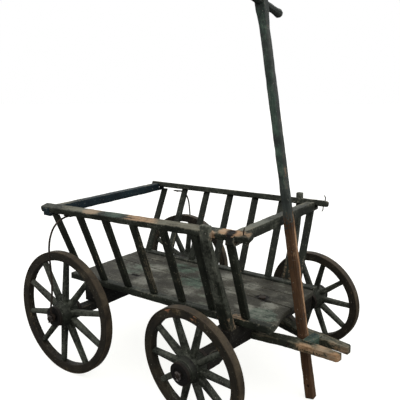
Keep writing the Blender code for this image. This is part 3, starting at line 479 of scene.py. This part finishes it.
rubbedTimbers = {  # browner, dustier or greener than their neighbours
    "rung_right_1": {"bare": -0.05},
    "rung_right_4": {"bare": 0.26, "fresh": -0.4},
    "rung_right_5": {"bare": 0.20, "fresh": -0.4},
    "rung_left_2": {"dust": 0.15},
    "rung_left_5": {"teal": 0.35},
    "top_rail_left": {"dust": 0.10, "bare": 0.12},
}
darkBeam = {"finish": "darkWood", "round": 0.0030, "along": 0.014, "across": 0.012, "chip": 0.0022,
            "bare": 0.1, "edgeBare": 0.3, "topBare": 0.2}
timberKinds = {  # by the start of the node's name: edge radius, distance between cuts, chips and wear
    "rung": {"finish": "greenPaint", "round": 0.0025, "along": 0.014, "across": 0.008, "chip": 0.0010,
             "bare": 0.05, "edgeBare": 0.20, "topBare": 0.1, "fresh": 0.1, "special": rungWear},
    "top_rail": {"finish": "greenPaint", "round": 0.0045, "along": 0.006, "across": 0.006, "chip": 0.0020,
                 "bare": 0.08, "edgeBare": 0.20, "topBare": 0.22, "fresh": 0.05, "dust": 0.18},
    "lower_rail": {"finish": "greenPaint", "round": 0.0025, "along": 0.012, "across": 0.009, "chip": 0.0016,
                   "bare": 0.10, "edgeBare": 0.20, "topBare": 0.10, "dust": 0.1},
    "front_cross_bar": {"finish": "greenPaint", "round": 0.0050, "along": 0.007, "across": 0.007,
                        "chip": 0.0026, "bare": 0.15, "edgeBare": 0.25, "topBare": 0.30,
                        "fresh": 0.1, "dust": 0.25},
    "rear_cross_bar": {"finish": "tealPaint", "round": 0.0050, "along": 0.007, "across": 0.007,
                       "chip": 0.0024, "bare": 0.05, "edgeBare": 0.20, "topBare": 0.30},
    "front_stake": {"finish": "greenPaint", "round": 0.0035, "along": 0.008, "across": 0.007,
                    "chip": 0.0018, "bare": 0.10, "edgeBare": 0.25, "topBare": 0.2, "fresh": 0.1,
                    "special": stakeWear},
    "floor_board": {"finish": "greyBoards", "round": 0.0020, "along": 0.010, "across": 0.008,
                    "chip": 0.0020, "bare": 0.22, "edgeBare": 0.10, "fresh": 0.05, "teal": 0.22},
    "rear_bolster": darkBeam,
    "front_bolster": darkBeam,
    "rear_axle_beam": {**darkBeam, "round": 0.0035},
    "front_axle_beam": {**darkBeam, "round": 0.0025, "chip": 0.0020},
    "turning_bolster": {**darkBeam, "round": 0.0025, "chip": 0.0020},
    "reach_pole": {**darkBeam, "along": 0.016, "chip": 0.0018},
    "fork_arm": {"finish": "wornWood", "round": 0.0035, "along": 0.006, "across": 0.006, "chip": 0.0024,
                 "bare": 0.25, "edgeBare": 0.30, "topBare": 0.15, "fresh": 0.05, "dust": 0.15},
    "fork_cleat": {"finish": "tealPaint", "round": 0.0015, "along": 0.008, "across": 0.008, "chip": 0.0010,
                   "bare": 0.05, "edgeBare": 0.3, "topBare": 0.1, "fresh": 0.1, "teal": 0.6},
    "pole": {"finish": "poleWood", "round": 0.0020, "along": 0.009, "across": 0.006, "chip": 0.0014,
             "bare": 0.05, "edgeBare": 0.15, "topBare": 0.1, "fresh": 0.1, "special": poleWear},
}


wornEdge = 0.008  # how far from a corner the wear reaches


# Rounds and chips the mesh towards its corners and writes the attributes
def wearSurface(bm, corners, kind, seed, grainOf, toWagon=Matrix()):
    bm.normal_update()
    normals = [vert.normal.copy() for vert in bm.verts]
    grainLayer = bm.verts.layers.float_vector.new("grain")
    layers = {key: bm.verts.layers.float.new(key) for key in wearNames}
    for vert, normal in zip(bm.verts, normals):
        point = vert.co.copy()
        # Edges are bitten 30 mm and 11 mm at a time, and the faces sway by half a millimetre
        edge = max(0.0, 1 - corners.find(point)[2] / wornEdge)
        bite = max(0.0, noise.noise(point * 34.0 + seed) + 0.15)
        bite += 0.5 * max(0.0, noise.noise(point * 90.0))
        sway = 0.0005 * noise.noise(point * 13.0 + seed) + 0.00015 * noise.noise(point * 75.0)
        vert[grainLayer] = grainOf(point) + seed
        place, facing = toWagon @ point, toWagon.to_3x3() @ normal
        marks = surfaceWear(place, facing, edge, kind)
        depth, dark = sunkAt(place, facing)
        marks["dirtAndShade"] += dark
        for key, layer in layers.items():
            vert[layer] = marks[key]
        vert.co = point + normal * (sway - kind["chip"] * edge * edge * bite - depth)


# Tree of points along the sharp edges, to find how far a point is from the nearest
def cornersOf(edges, spacing=0.003):
    points = []
    for start, end in edges:
        steps = max(1, int((end - start).length / spacing))
        points += [start.lerp(end, i / steps) for i in range(steps + 1)]
    tree = KDTree(len(points))
    for i, point in enumerate(points):
        tree.insert(point, i)
    tree.balance()
    return tree


railSection = {"thin": 0.70, "lean": 14, "up": 0.0022}  # share of the height, degrees, metres
stakeShape = {"foot": (-0.006, 1.0), "top": (-0.011, 1.36), "slice": 0.02}  # moved in x, wider along x
beamWaist = {"axleZ": 0.195, "thin": 0.15, "halfLength": 0.215, "runOut": 0.05}
rungTenon = {"slice": 0.012, "longer": 0.009}
sharpFrom = radians(28)


# The rails lean outwards with the ladder sides, so their section is turned and thinner
def shapeRail(bm, name):
    side = -1 if "right" in name else 1
    verts = sorted(bm.verts, key=lambda vert: vert.co.x)
    ends = [sum((vert.co for vert in group), Vector()) / 4 for group in (verts[:4], verts[-4:])]
    axis = (ends[1] - ends[0]).normalized()
    flat = Matrix.Scale(railSection["thin"], 3, Vector((0, 0, 1)))
    turn = Matrix.Rotation(radians(-side * railSection["lean"]), 3, axis) @ flat
    for vert in bm.verts:
        foot = ends[0] + axis * (vert.co - ends[0]).dot(axis)
        vert.co = foot + turn @ (vert.co - foot) + Vector((0, 0, railSection["up"]))


# The near front stake is broader towards its top than the sawn one on the far side
def shapeStake(bm):
    low, high = min(vert.co.z for vert in bm.verts), max(vert.co.z for vert in bm.verts)
    (footMove, footWide), (topMove, topWide) = stakeShape["foot"], stakeShape["top"]
    middles = []
    for level in (low, high):
        group = [vert.co.x for vert in bm.verts if abs(vert.co.z - level) < stakeShape["slice"]]
        middles.append(sum(group) / len(group))
    for vert in bm.verts:
        share = (vert.co.z - low) / (high - low)
        middle = middles[0] + share * (middles[1] - middles[0])
        wide = footWide + share * (topWide - footWide)
        vert.co.x = middle + (vert.co.x - middle) * wide + footMove + share * (topMove - footMove)


# The front beam is shallow between its ends, where daylight shows under it
def thinBeam(bm):
    for vert in bm.verts:
        below = beamWaist["axleZ"] - vert.co.z
        if below > 0:
            past = (abs(vert.co.y) - beamWaist["halfLength"]) / beamWaist["runOut"]
            share = min(1.0, max(beamWaist["thin"], past))
            vert.co.z = beamWaist["axleZ"] - below * share


# Grows a rung up into the leaning rail
def lengthenRung(bm, along):
    high = max(vert.co.z for vert in bm.verts)
    for vert in bm.verts:
        if vert.co.z > high - rungTenon["slice"]:
            vert.co += along * (rungTenon["longer"] if along.z > 0 else -rungTenon["longer"])


def sharpEdges(bm):
    return [edge for edge in bm.edges if edge.calc_face_angle(0) > sharpFrom]


def edgePoints(edges):
    return cornersOf([(edge.verts[0].co.copy(), edge.verts[1].co.copy()) for edge in edges])


# Takes a solid's shape, rounds and wears it, and puts it in the solid's place
def dressTimber(name, kind):
    bm = bmesh.new()
    bm.from_mesh(nodes[name].data)
    bmesh.ops.remove_doubles(bm, verts=bm.verts, dist=0.00003)
    bmesh.ops.dissolve_limit(bm, angle_limit=radians(1.5), verts=bm.verts, edges=bm.edges)
    if name.startswith("top_rail"):
        shapeRail(bm, name)
    if name == "front_stake_right":
        shapeStake(bm)
    along, across, third = timberAxes(bm)
    if name.startswith("rung"):
        lengthenRung(bm, along)
    kind = {**kind, **rubbedTimbers.get(name, {})}
    sharp = sharpEdges(bm)
    corners = edgePoints(sharp)
    bmesh.ops.bevel(bm, geom=sharp, offset=kind["round"], offset_type="OFFSET", affect="EDGES",
                    segments=2, profile=0.5, material=-1, clamp_overlap=True)
    lengthwise, crosswise = [], []
    if name.startswith("floor_board"):  # finer where the floor is hollowed
        if abs(across.z) > 0.5:
            across, third = third, across
        for x, y, halfLength, halfWidth, depth in floorHollows["places"]:
            place = Vector((x, y, floorHollows["top"]))
            lengthwise += [place.dot(along) + share * halfLength for share in floorHollows["cuts"]]
            crosswise += [place.dot(across) + share * halfWidth for share in floorHollows["cuts"]]
    cutAcross(bm, across, kind["across"], crosswise)
    cutAcross(bm, third, kind["across"])
    cutAcross(bm, along, kind["along"], lengthwise)
    if name == "front_axle_beam":
        thinBeam(bm)
    turn = Matrix((along, across, third))
    wearSurface(bm, corners, kind, seedOf(name), lambda point: turn @ point)
    putPiece(bm, name + "_worn", bodyOf[name], kind["finish"], [name])


for name in sorted(nodes):
    for start, kind in timberKinds.items():
        if name.startswith(start):
            dressTimber(name, kind)
            break
print("timbers dressed")


# Wheels, made round the Y axis with the outside at +Y, then set on their axles

wheelNames = ("rear_right", "rear_left", "front_right", "front_left")
wheelPiece = {
    "radius": {"rear": 0.230, "front": 0.195},
    "rolled": {"rear_right": 6, "rear_left": 6, "front_right": 18, "front_left": 16},  # degrees
    "width": 0.027, "felloe": 0.028, "tyre": 0.004, "gap": 0.0003, "steps": 120,
    "felloeChamfer": 0.0016, "tyreChamfer": 0.0007, "dents": 0.0002,
    "felloes": 5, "jointHalf": 0.0007, "jointDeep": 0.0011,
    "spokes": 10, "spokeSides": 14, "spokeSquare": 0.62,
    "spokeStations": [  # share of the way out, across, deep
        (0.00, 0.0226, 0.0246), (0.12, 0.0226, 0.0244), (0.35, 0.0214, 0.0232), (0.65, 0.0200, 0.0214),
        (0.90, 0.0192, 0.0202), (1.00, 0.0192, 0.0200)],
    "hubRoot": 0.040, "spokeFoot": 0.05, "hubSteps": 56, "hubCorners": (0.036, 0.047), "hubHalf": 0.052,
    "hub": [  # radius and y from the wheel's middle, inner end to outer end
        (0.0098, -0.0485), (0.0352, -0.0485), (0.0358, -0.0355), (0.0372, -0.0330), (0.0440, -0.0180),
        (0.0470, -0.0135), (0.0470, 0.0135), (0.0452, 0.0165), (0.0455, 0.0180), (0.0440, 0.0190),
        (0.0395, 0.0330), (0.0382, 0.0345), (0.0384, 0.0360), (0.0366, 0.0370), (0.0352, 0.0500),
        (0.0340, 0.0530), (0.0230, 0.0535), (0.0205, 0.0505), (0.0098, 0.0500)],
    "bands": [(-0.0485, -0.0355), (0.0425, 0.0530)], "bandR": 0.0355, "bandT": 0.0015,
    "bandSunk": 0.0002, "bandChamfer": 0.0003,
}


# Both ends are black with old grease
def hubWear(point, normal, edge):
    return {"dirtAndShade": 1.7 * max(0.0, abs(normal.y) - 0.4)}


wheelKinds = {
    "felloe": {"chip": 0.0012, "bare": 0.15, "edgeBare": 0.15, "teal": -0.1},
    "spoke": {"chip": 0.0008, "bare": 0.05, "edgeBare": 0.15, "teal": -0.2, "dust": 0.3},
    "hub": {"chip": 0.0008, "bare": 0.05, "edgeBare": 0.15, "teal": -0.2, "dust": 0.15, "special": hubWear},
}


# Turns a (radius, y) profile about the Y axis
def turned(bm, profile, steps, closed=True):
    verts = [bm.verts.new((radius, y, 0)) for radius, y in profile]
    edges = [bm.edges.new(pair) for pair in zip(verts, verts[1:])]
    if closed:
        edges.append(bm.edges.new((verts[-1], verts[0])))
    bmesh.ops.spin(bm, geom=verts + edges, axis=(0, 1, 0), cent=(0, 0, 0), angle=2 * pi,
                   steps=steps, use_merge=True)
    bmesh.ops.remove_doubles(bm, verts=bm.verts, dist=0.00001)
    bmesh.ops.recalc_face_normals(bm, faces=bm.faces)


# Grain that follows the rim: metres round it, out from the axle, and across
def roundGrain(point):
    radius = Vector((point.x, point.z)).length
    return Vector((atan2(point.x, point.z) * 0.2, radius, point.y))


# Closed section of a ring with its corners taken off, cut into rows on its sides
def chamferedRing(inner, outer, half, chamfer, rows=4):
    shares = [i / rows for i in range(rows + 1)]
    flat = outer - inner - 2 * chamfer
    section = [(inner + chamfer + flat * share, half) for share in shares]
    section += [(outer, (half - chamfer) * (1 - 2 * share)) for share in shares]
    section += [(outer - chamfer - flat * share, -half) for share in shares]
    section += [(inner, (half - chamfer) * (2 * share - 1)) for share in shares]
    return section


# Tree of points along the round edges of a turned piece
def ringCorners(radii, half, steps=240):
    tree = KDTree(len(radii) * 2 * steps)
    turns = [2 * pi * i / steps for i in range(steps)]
    places = [(radius * sin(turn), y, radius * cos(turn))
              for radius in radii for y in (-half, half) for turn in turns]
    for i, place in enumerate(places):
        tree.insert(place, i)
    tree.balance()
    return tree


# Matrix from a wheel's own frame, outside at +Y, to the wagon
def wheelFrame(name):
    joint = jointTo["wheel_" + name]
    middle, axle = Vector(joint["pos_m"]), Vector(joint["axis"]).normalized()
    outward = axle * (1 if middle.y > 0 else -1)
    forward = outward.cross(Vector((0, 0, 1))).normalized()
    upward = forward.cross(outward)
    return Matrix.Translation(middle) @ Matrix((forward, outward, upward)).transposed().to_4x4()


# Directions out from the axle and round it, at a turn about Y
def axleDirections(turn):
    return Vector((sin(turn), 0, cos(turn))), Vector((cos(turn), 0, -sin(turn)))


# Five bent lengths with open joints
def makeFelloes(bm, inner, outer, seed, setting):
    size = wheelPiece
    half = size["width"] / 2
    turned(bm, chamferedRing(inner, outer, half, size["felloeChamfer"]), size["steps"])
    joints = [axleDirections(2 * pi * (i + 0.5) / size["felloes"]) for i in range(size["felloes"])]
    for outwards, side in joints:
        for offset in (-size["jointHalf"], 0, size["jointHalf"]):
            bmesh.ops.bisect_plane(bm, geom=bm.verts[:] + bm.edges[:] + bm.faces[:], dist=0.00001,
                                   plane_co=side * offset, plane_no=side)
    wearSurface(bm, ringCorners((inner, outer), half), wheelKinds["felloe"], seed, roundGrain, setting)
    bm.normal_update()
    for vert in bm.verts:
        for outwards, side in joints:
            if abs(vert.co.dot(side)) < 0.0004 and vert.co.dot(outwards) > 0:
                vert.co -= vert.normal * size["jointDeep"]


# One spoke upwards, oval near the hub and squarer at the rim, turned to its place
def addSpoke(bm, end, turn):
    size = wheelPiece
    made = bmesh.ops.create_circle(bm, cap_ends=True, segments=size["spokeSides"], radius=1)
    cap = made["verts"][0].link_faces[0]
    ring = list(made["verts"])
    every = list(ring)
    unit = [vert.co.copy() for vert in ring]
    for step, (share, across, deep) in enumerate(size["spokeStations"]):
        if step:
            cap = bmesh.ops.extrude_discrete_faces(bm, faces=[cap])["faces"][0]
            ring = list(cap.verts)
            every += ring
        square = size["spokeSquare"] + 0.1 * share
        height = size["hubRoot"] + (end - size["hubRoot"]) * share
        for vert, direction in zip(ring, unit):
            x = abs(direction.x) ** square * (1 if direction.x > 0 else -1)
            y = abs(direction.y) ** square * (1 if direction.y > 0 else -1)
            vert.co = Vector((x * across / 2, y * deep / 2, height))
    bmesh.ops.rotate(bm, verts=every, cent=(0, 0, 0), matrix=Matrix.Rotation(turn, 3, "Y"))


# Grain that follows the nearest spoke
def spokeGrain(point):
    step = 2 * pi / wheelPiece["spokes"]
    turn = round(atan2(point.x, point.z) / step) * step
    outwards, side = axleDirections(turn)
    return Vector((point.dot(outwards), point.dot(side), point.y)) + Vector((turn * 3, turn * 5, turn))


def hubGrain(point):
    return Vector((point.y, atan2(point.x, point.z) * 0.04, 0))


# Two iron bands round the hub's ends
def makeBands(bm):
    size = wheelPiece
    inner, outer = size["bandR"] - size["bandSunk"], size["bandR"] + size["bandT"]
    for low, high in size["bands"]:
        part = bmesh.new()
        turned(part, [(inner, low), (outer, low + size["bandChamfer"]), (outer, high - size["bandChamfer"]),
                      (inner, high)], size["hubSteps"])
        mesh = bpy.data.meshes.new("band")
        part.to_mesh(mesh)
        part.free()
        bm.from_mesh(mesh)


def dressWheel(name):
    size = wheelPiece
    radius = size["radius"][name.split("_")[0]]
    rolled = (1 if name.endswith("left") else -1) * radians(size["rolled"][name])
    body = "wheel_" + name
    setting = wheelFrame(name) @ Matrix.Rotation(rolled, 4, "Y")
    half = size["width"] / 2
    tyreInner = radius - size["tyre"]
    rimOuter = tyreInner - size["gap"]
    rimInner = rimOuter - size["felloe"]
    seed = seedOf(name)

    bm = bmesh.new()
    makeFelloes(bm, rimInner, rimOuter, seed, setting)
    bmesh.ops.transform(bm, matrix=setting, verts=bm.verts)
    putPiece(bm, "felloes_%s_worn" % name, body, "brownWood", ["felloes_" + name])

    # Tyre: a shrunk hoop, a little dented
    bm = bmesh.new()
    turned(bm, chamferedRing(tyreInner, radius, half, size["tyreChamfer"], rows=2), size["steps"])
    bm.normal_update()
    for vert in bm.verts:
        vert.co += vert.normal * size["dents"] * (noise.noise(vert.co * 30 + seed) - 0.3)
    bmesh.ops.transform(bm, matrix=setting, verts=bm.verts)
    putPiece(bm, "tyre_%s_hoop" % name, body, "tyreIron", ["tyre_" + name])

    bm = bmesh.new()
    for i in range(size["spokes"]):
        addSpoke(bm, rimInner + 0.001, 2 * pi * i / size["spokes"])
    bmesh.ops.remove_doubles(bm, verts=bm.verts, dist=0.00001)
    bmesh.ops.recalc_face_normals(bm, faces=bm.faces)
    longEdges = [edge for edge in bm.edges if edge.calc_length() > 0.02]
    bmesh.ops.subdivide_edges(bm, edges=longEdges, cuts=3, use_grid_fill=False)
    wearSurface(bm, ringCorners((size["spokeFoot"], rimInner), half), wheelKinds["spoke"], seed,
                spokeGrain, setting)
    bmesh.ops.transform(bm, matrix=setting, verts=bm.verts)
    putPiece(bm, "spokes_%s_shaved" % name, body, "greenPaint",
             ["hub_and_spokes_" + name], smoothAngle=50)

    # Hub, turned from one block, with its two grooves and the sunk end
    bm = bmesh.new()
    turned(bm, size["hub"], size["hubSteps"])
    wearSurface(bm, ringCorners(size["hubCorners"], size["hubHalf"]), wheelKinds["hub"], seed,
                hubGrain, setting)
    bmesh.ops.transform(bm, matrix=setting, verts=bm.verts)
    putPiece(bm, "hub_%s_turned" % name, body, "greenPaint",
             ["hub_and_spokes_" + name], smoothAngle=30)

    bm = bmesh.new()
    makeBands(bm)
    bmesh.ops.transform(bm, matrix=setting, verts=bm.verts)
    putPiece(bm, "hub_bands_" + name, body, "greasyIron")


for name in wheelNames:
    dressWheel(name)
print("wheels dressed")


# Axle arms with a square nut and a split pin, made in the wheel's own frame

armPiece = {
    "collarR": 0.021, "collarT": 0.003, "armR": 0.009, "armEnd": 0.010, "pointR": 0.005, "steps": 24,
    "nutHalf": 0.0098, "nutT": 0.0066, "nutBevel": 0.0012,
    "pinR": 0.0016, "pinHalf": 0.0115, "splitOut": 0.0055, "splitDown": 0.0035,
}


# A bevelled square block along Y, made from a four-sided ring
def addBlock(bm, half, low, high, bevel):
    made = bmesh.ops.create_circle(bm, cap_ends=True, segments=4, radius=half * 2 ** 0.5)
    turn = Matrix.Rotation(pi / 2, 3, "X") @ Matrix.Rotation(pi / 4, 3, "Z")
    bmesh.ops.rotate(bm, verts=made["verts"], cent=(0, 0, 0), matrix=turn)
    bmesh.ops.translate(bm, verts=made["verts"], vec=(0, low, 0))
    face = made["verts"][0].link_faces[0]
    raised = bmesh.ops.extrude_face_region(bm, geom=[face])
    moved = [part for part in raised["geom"] if isinstance(part, bmesh.types.BMVert)]
    bmesh.ops.translate(bm, verts=moved, vec=(0, high - low, 0))
    edges = list({edge for vert in moved for edge in vert.link_edges})
    bmesh.ops.bevel(bm, geom=edges, offset=bevel, offset_type="OFFSET", affect="EDGES", segments=2,
                    profile=0.5, material=-1, clamp_overlap=True)


# A short round rod with rounded ends between two points
def addRod(bm, start, end, radius):
    made = bmesh.ops.create_cone(bm, cap_ends=True, segments=8, radius1=radius, radius2=radius,
                                 depth=(end - start).length)
    turn = (end - start).to_track_quat("Z", "Y").to_matrix().to_4x4()
    bmesh.ops.transform(bm, matrix=Matrix.Translation((start + end) / 2) @ turn, verts=made["verts"])
    caps = [edge for vert in made["verts"] for edge in vert.link_edges
            if any(len(face.verts) > 4 for face in edge.link_faces)]
    bmesh.ops.bevel(bm, geom=list(set(caps)), offset=radius * 0.35, offset_type="OFFSET",
                    affect="EDGES", segments=1, profile=0.5, material=-1, clamp_overlap=True)


def dressArm(name):
    size = armPiece
    node = "axle_arm_" + name
    setting = wheelFrame(name)
    back = setting.inverted()
    reach = [(back @ vert.co).y for vert in nodes[node].data.vertices]
    inner, outer = min(reach), max(reach)
    nutAt = outer - size["armEnd"]
    profile = [(0, inner), (size["collarR"], inner), (size["collarR"], inner + size["collarT"]),
               (size["armR"], inner + size["collarT"]), (size["armR"], nutAt + size["nutT"]),
               (size["armR"] - 0.001, outer - 0.0015), (size["pointR"], outer), (0, outer)]
    bm = bmesh.new()
    turned(bm, profile, size["steps"], closed=False)
    bmesh.ops.transform(bm, matrix=setting, verts=bm.verts)
    putPiece(bm, "axle_arm_%s_forged" % name, bodyOf[node], "rustyIron", [node])

    bm = bmesh.new()
    addBlock(bm, size["nutHalf"], nutAt, nutAt + size["nutT"], size["nutBevel"])
    bmesh.ops.recalc_face_normals(bm, faces=bm.faces)
    pinAt = nutAt + size["nutT"] + size["pinR"]
    tip = Vector((0, pinAt, -size["pinHalf"]))
    addRod(bm, tip, Vector((0, pinAt, size["pinHalf"])), size["pinR"])
    for out in (size["splitOut"], -size["splitOut"]):
        addRod(bm, tip, tip + Vector((out, 0.0004, -size["splitDown"])), size["pinR"] * 0.8)
    bmesh.ops.transform(bm, matrix=setting, verts=bm.verts)
    putPiece(bm, "axle_nut_" + name, bodyOf[node], "rubbedIron")


for name in wheelNames:
    dressArm(name)
print("axle arms dressed")


# Grip: a shaved ash rod with thick, knobbly ends, through the pole's head

gripPiece = {
    "sides": 9, "uneven": 0.07, "cuts": 0.008,
    "stations": [  # share of the half length from the end, radius
        (0.0, 0.0085), (0.03, 0.0138), (0.08, 0.0156), (0.16, 0.0152), (0.26, 0.0136), (0.40, 0.0130),
        (0.60, 0.0130), (0.85, 0.0134)],
    "wear": {"chip": 0.0008, "bare": 0.15, "edgeBare": 0.1, "topBare": 0.1, "dust": 0.2},
}


# The middles of the grip's two end faces
def gripEnds():
    places = [vert.co.copy() for vert in nodes["grip"].data.vertices]
    ends = []
    for sign in (-1, 1):
        reach = max(sign * place.y for place in places)
        group = [place for place in places if sign * place.y > reach - 0.003]
        ends.append(sum(group, Vector()) / len(group))
    return ends


def dressGrip():
    start, end = gripEnds()
    length = (end - start).length
    half = [(share * length / 2, radius) for share, radius in gripPiece["stations"]]
    stations = half + [(length - reach, radius) for reach, radius in reversed(half)]
    bm = bmesh.new()
    made = bmesh.ops.create_circle(bm, cap_ends=True, segments=gripPiece["sides"], radius=1)
    unit = [vert.co.copy() for vert in made["verts"]]
    ring, cap = list(made["verts"]), made["verts"][0].link_faces[0]
    for step, (reach, radius) in enumerate(stations):
        if step:
            cap = bmesh.ops.extrude_discrete_faces(bm, faces=[cap])["faces"][0]
            ring = list(cap.verts)
        for vert, direction in zip(ring, unit):
            place = direction * 2.0 + Vector((0, 0, reach * 25))
            wide = radius * (1 + gripPiece["uneven"] * noise.noise(place))
            vert.co = Vector((direction.x * wide, direction.y * wide, reach))
    bmesh.ops.remove_doubles(bm, verts=bm.verts, dist=0.00001)
    bmesh.ops.recalc_face_normals(bm, faces=bm.faces)
    setting = Matrix.Translation(start) @ (end - start).to_track_quat("Z", "Y").to_matrix().to_4x4()
    corners = edgePoints(sharpEdges(bm))
    cutAcross(bm, Vector((0, 0, 1)), gripPiece["cuts"])
    wearSurface(bm, corners, gripPiece["wear"], seedOf("grip"),
                lambda point: Vector((point.z, point.x, point.y)), setting)
    bmesh.ops.transform(bm, matrix=setting, verts=bm.verts)
    putPiece(bm, "grip_shaved", bodyOf["grip"], "poleWood", ["grip"], smoothAngle=24)


dressGrip()
print("grip dressed")


# Nails: heads in the boards over both bolsters, and bent ones in the rails' tails

nailPiece = {
    "headR": 0.0034, "headT": 0.0014, "boardTop": 0.3033, "boardRows": (-0.354, 0.232), "zigzag": 0.006,
    "boardYs": (-0.150, -0.070, 0.028, 0.068, 0.112, 0.146),
    "bent": [  # start, end and radius of each straight length
        ((0.358, -0.309, 0.612), (0.360, -0.311, 0.632), 0.0021),
        ((0.360, -0.311, 0.631), (0.364, -0.314, 0.640), 0.0020),
        ((0.360, 0.303, 0.612), (0.362, 0.302, 0.634), 0.0021),
        ((0.362, 0.302, 0.633), (0.357, 0.300, 0.641), 0.0020),
        ((0.354, 0.303, 0.598), (0.353, 0.304, 0.582), 0.0021),
        ((0.353, 0.304, 0.583), (0.349, 0.302, 0.577), 0.0020)],
}

bm = bmesh.new()
for x in nailPiece["boardRows"]:
    for i, y in enumerate(nailPiece["boardYs"]):
        made = bmesh.ops.create_cone(bm, cap_ends=True, segments=10, radius1=nailPiece["headR"],
                                     radius2=nailPiece["headR"] * 0.55, depth=nailPiece["headT"])
        height = nailPiece["boardTop"] + 0.3 * nailPiece["headT"]
        place = Vector((x + nailPiece["zigzag"] * (-1) ** i, y, height))
        bmesh.ops.translate(bm, verts=made["verts"], vec=place)
putPiece(bm, "floor_nails", "bed", "rustyIron")

bm = bmesh.new()
for start, end, radius in nailPiece["bent"]:
    addRod(bm, Vector(start), Vector(end), radius)
putPiece(bm, "rail_nails", "bed", "rustyIron")
print("nails in")


# Iron carried over from the model
for name, node in nodes.items():
    if name.startswith(("rear_stay", "king_pin", "fork_bolt")):
        node.data.materials.clear()
        node.data.materials.append(finishes["rustyIron"])

print("pieces in place")
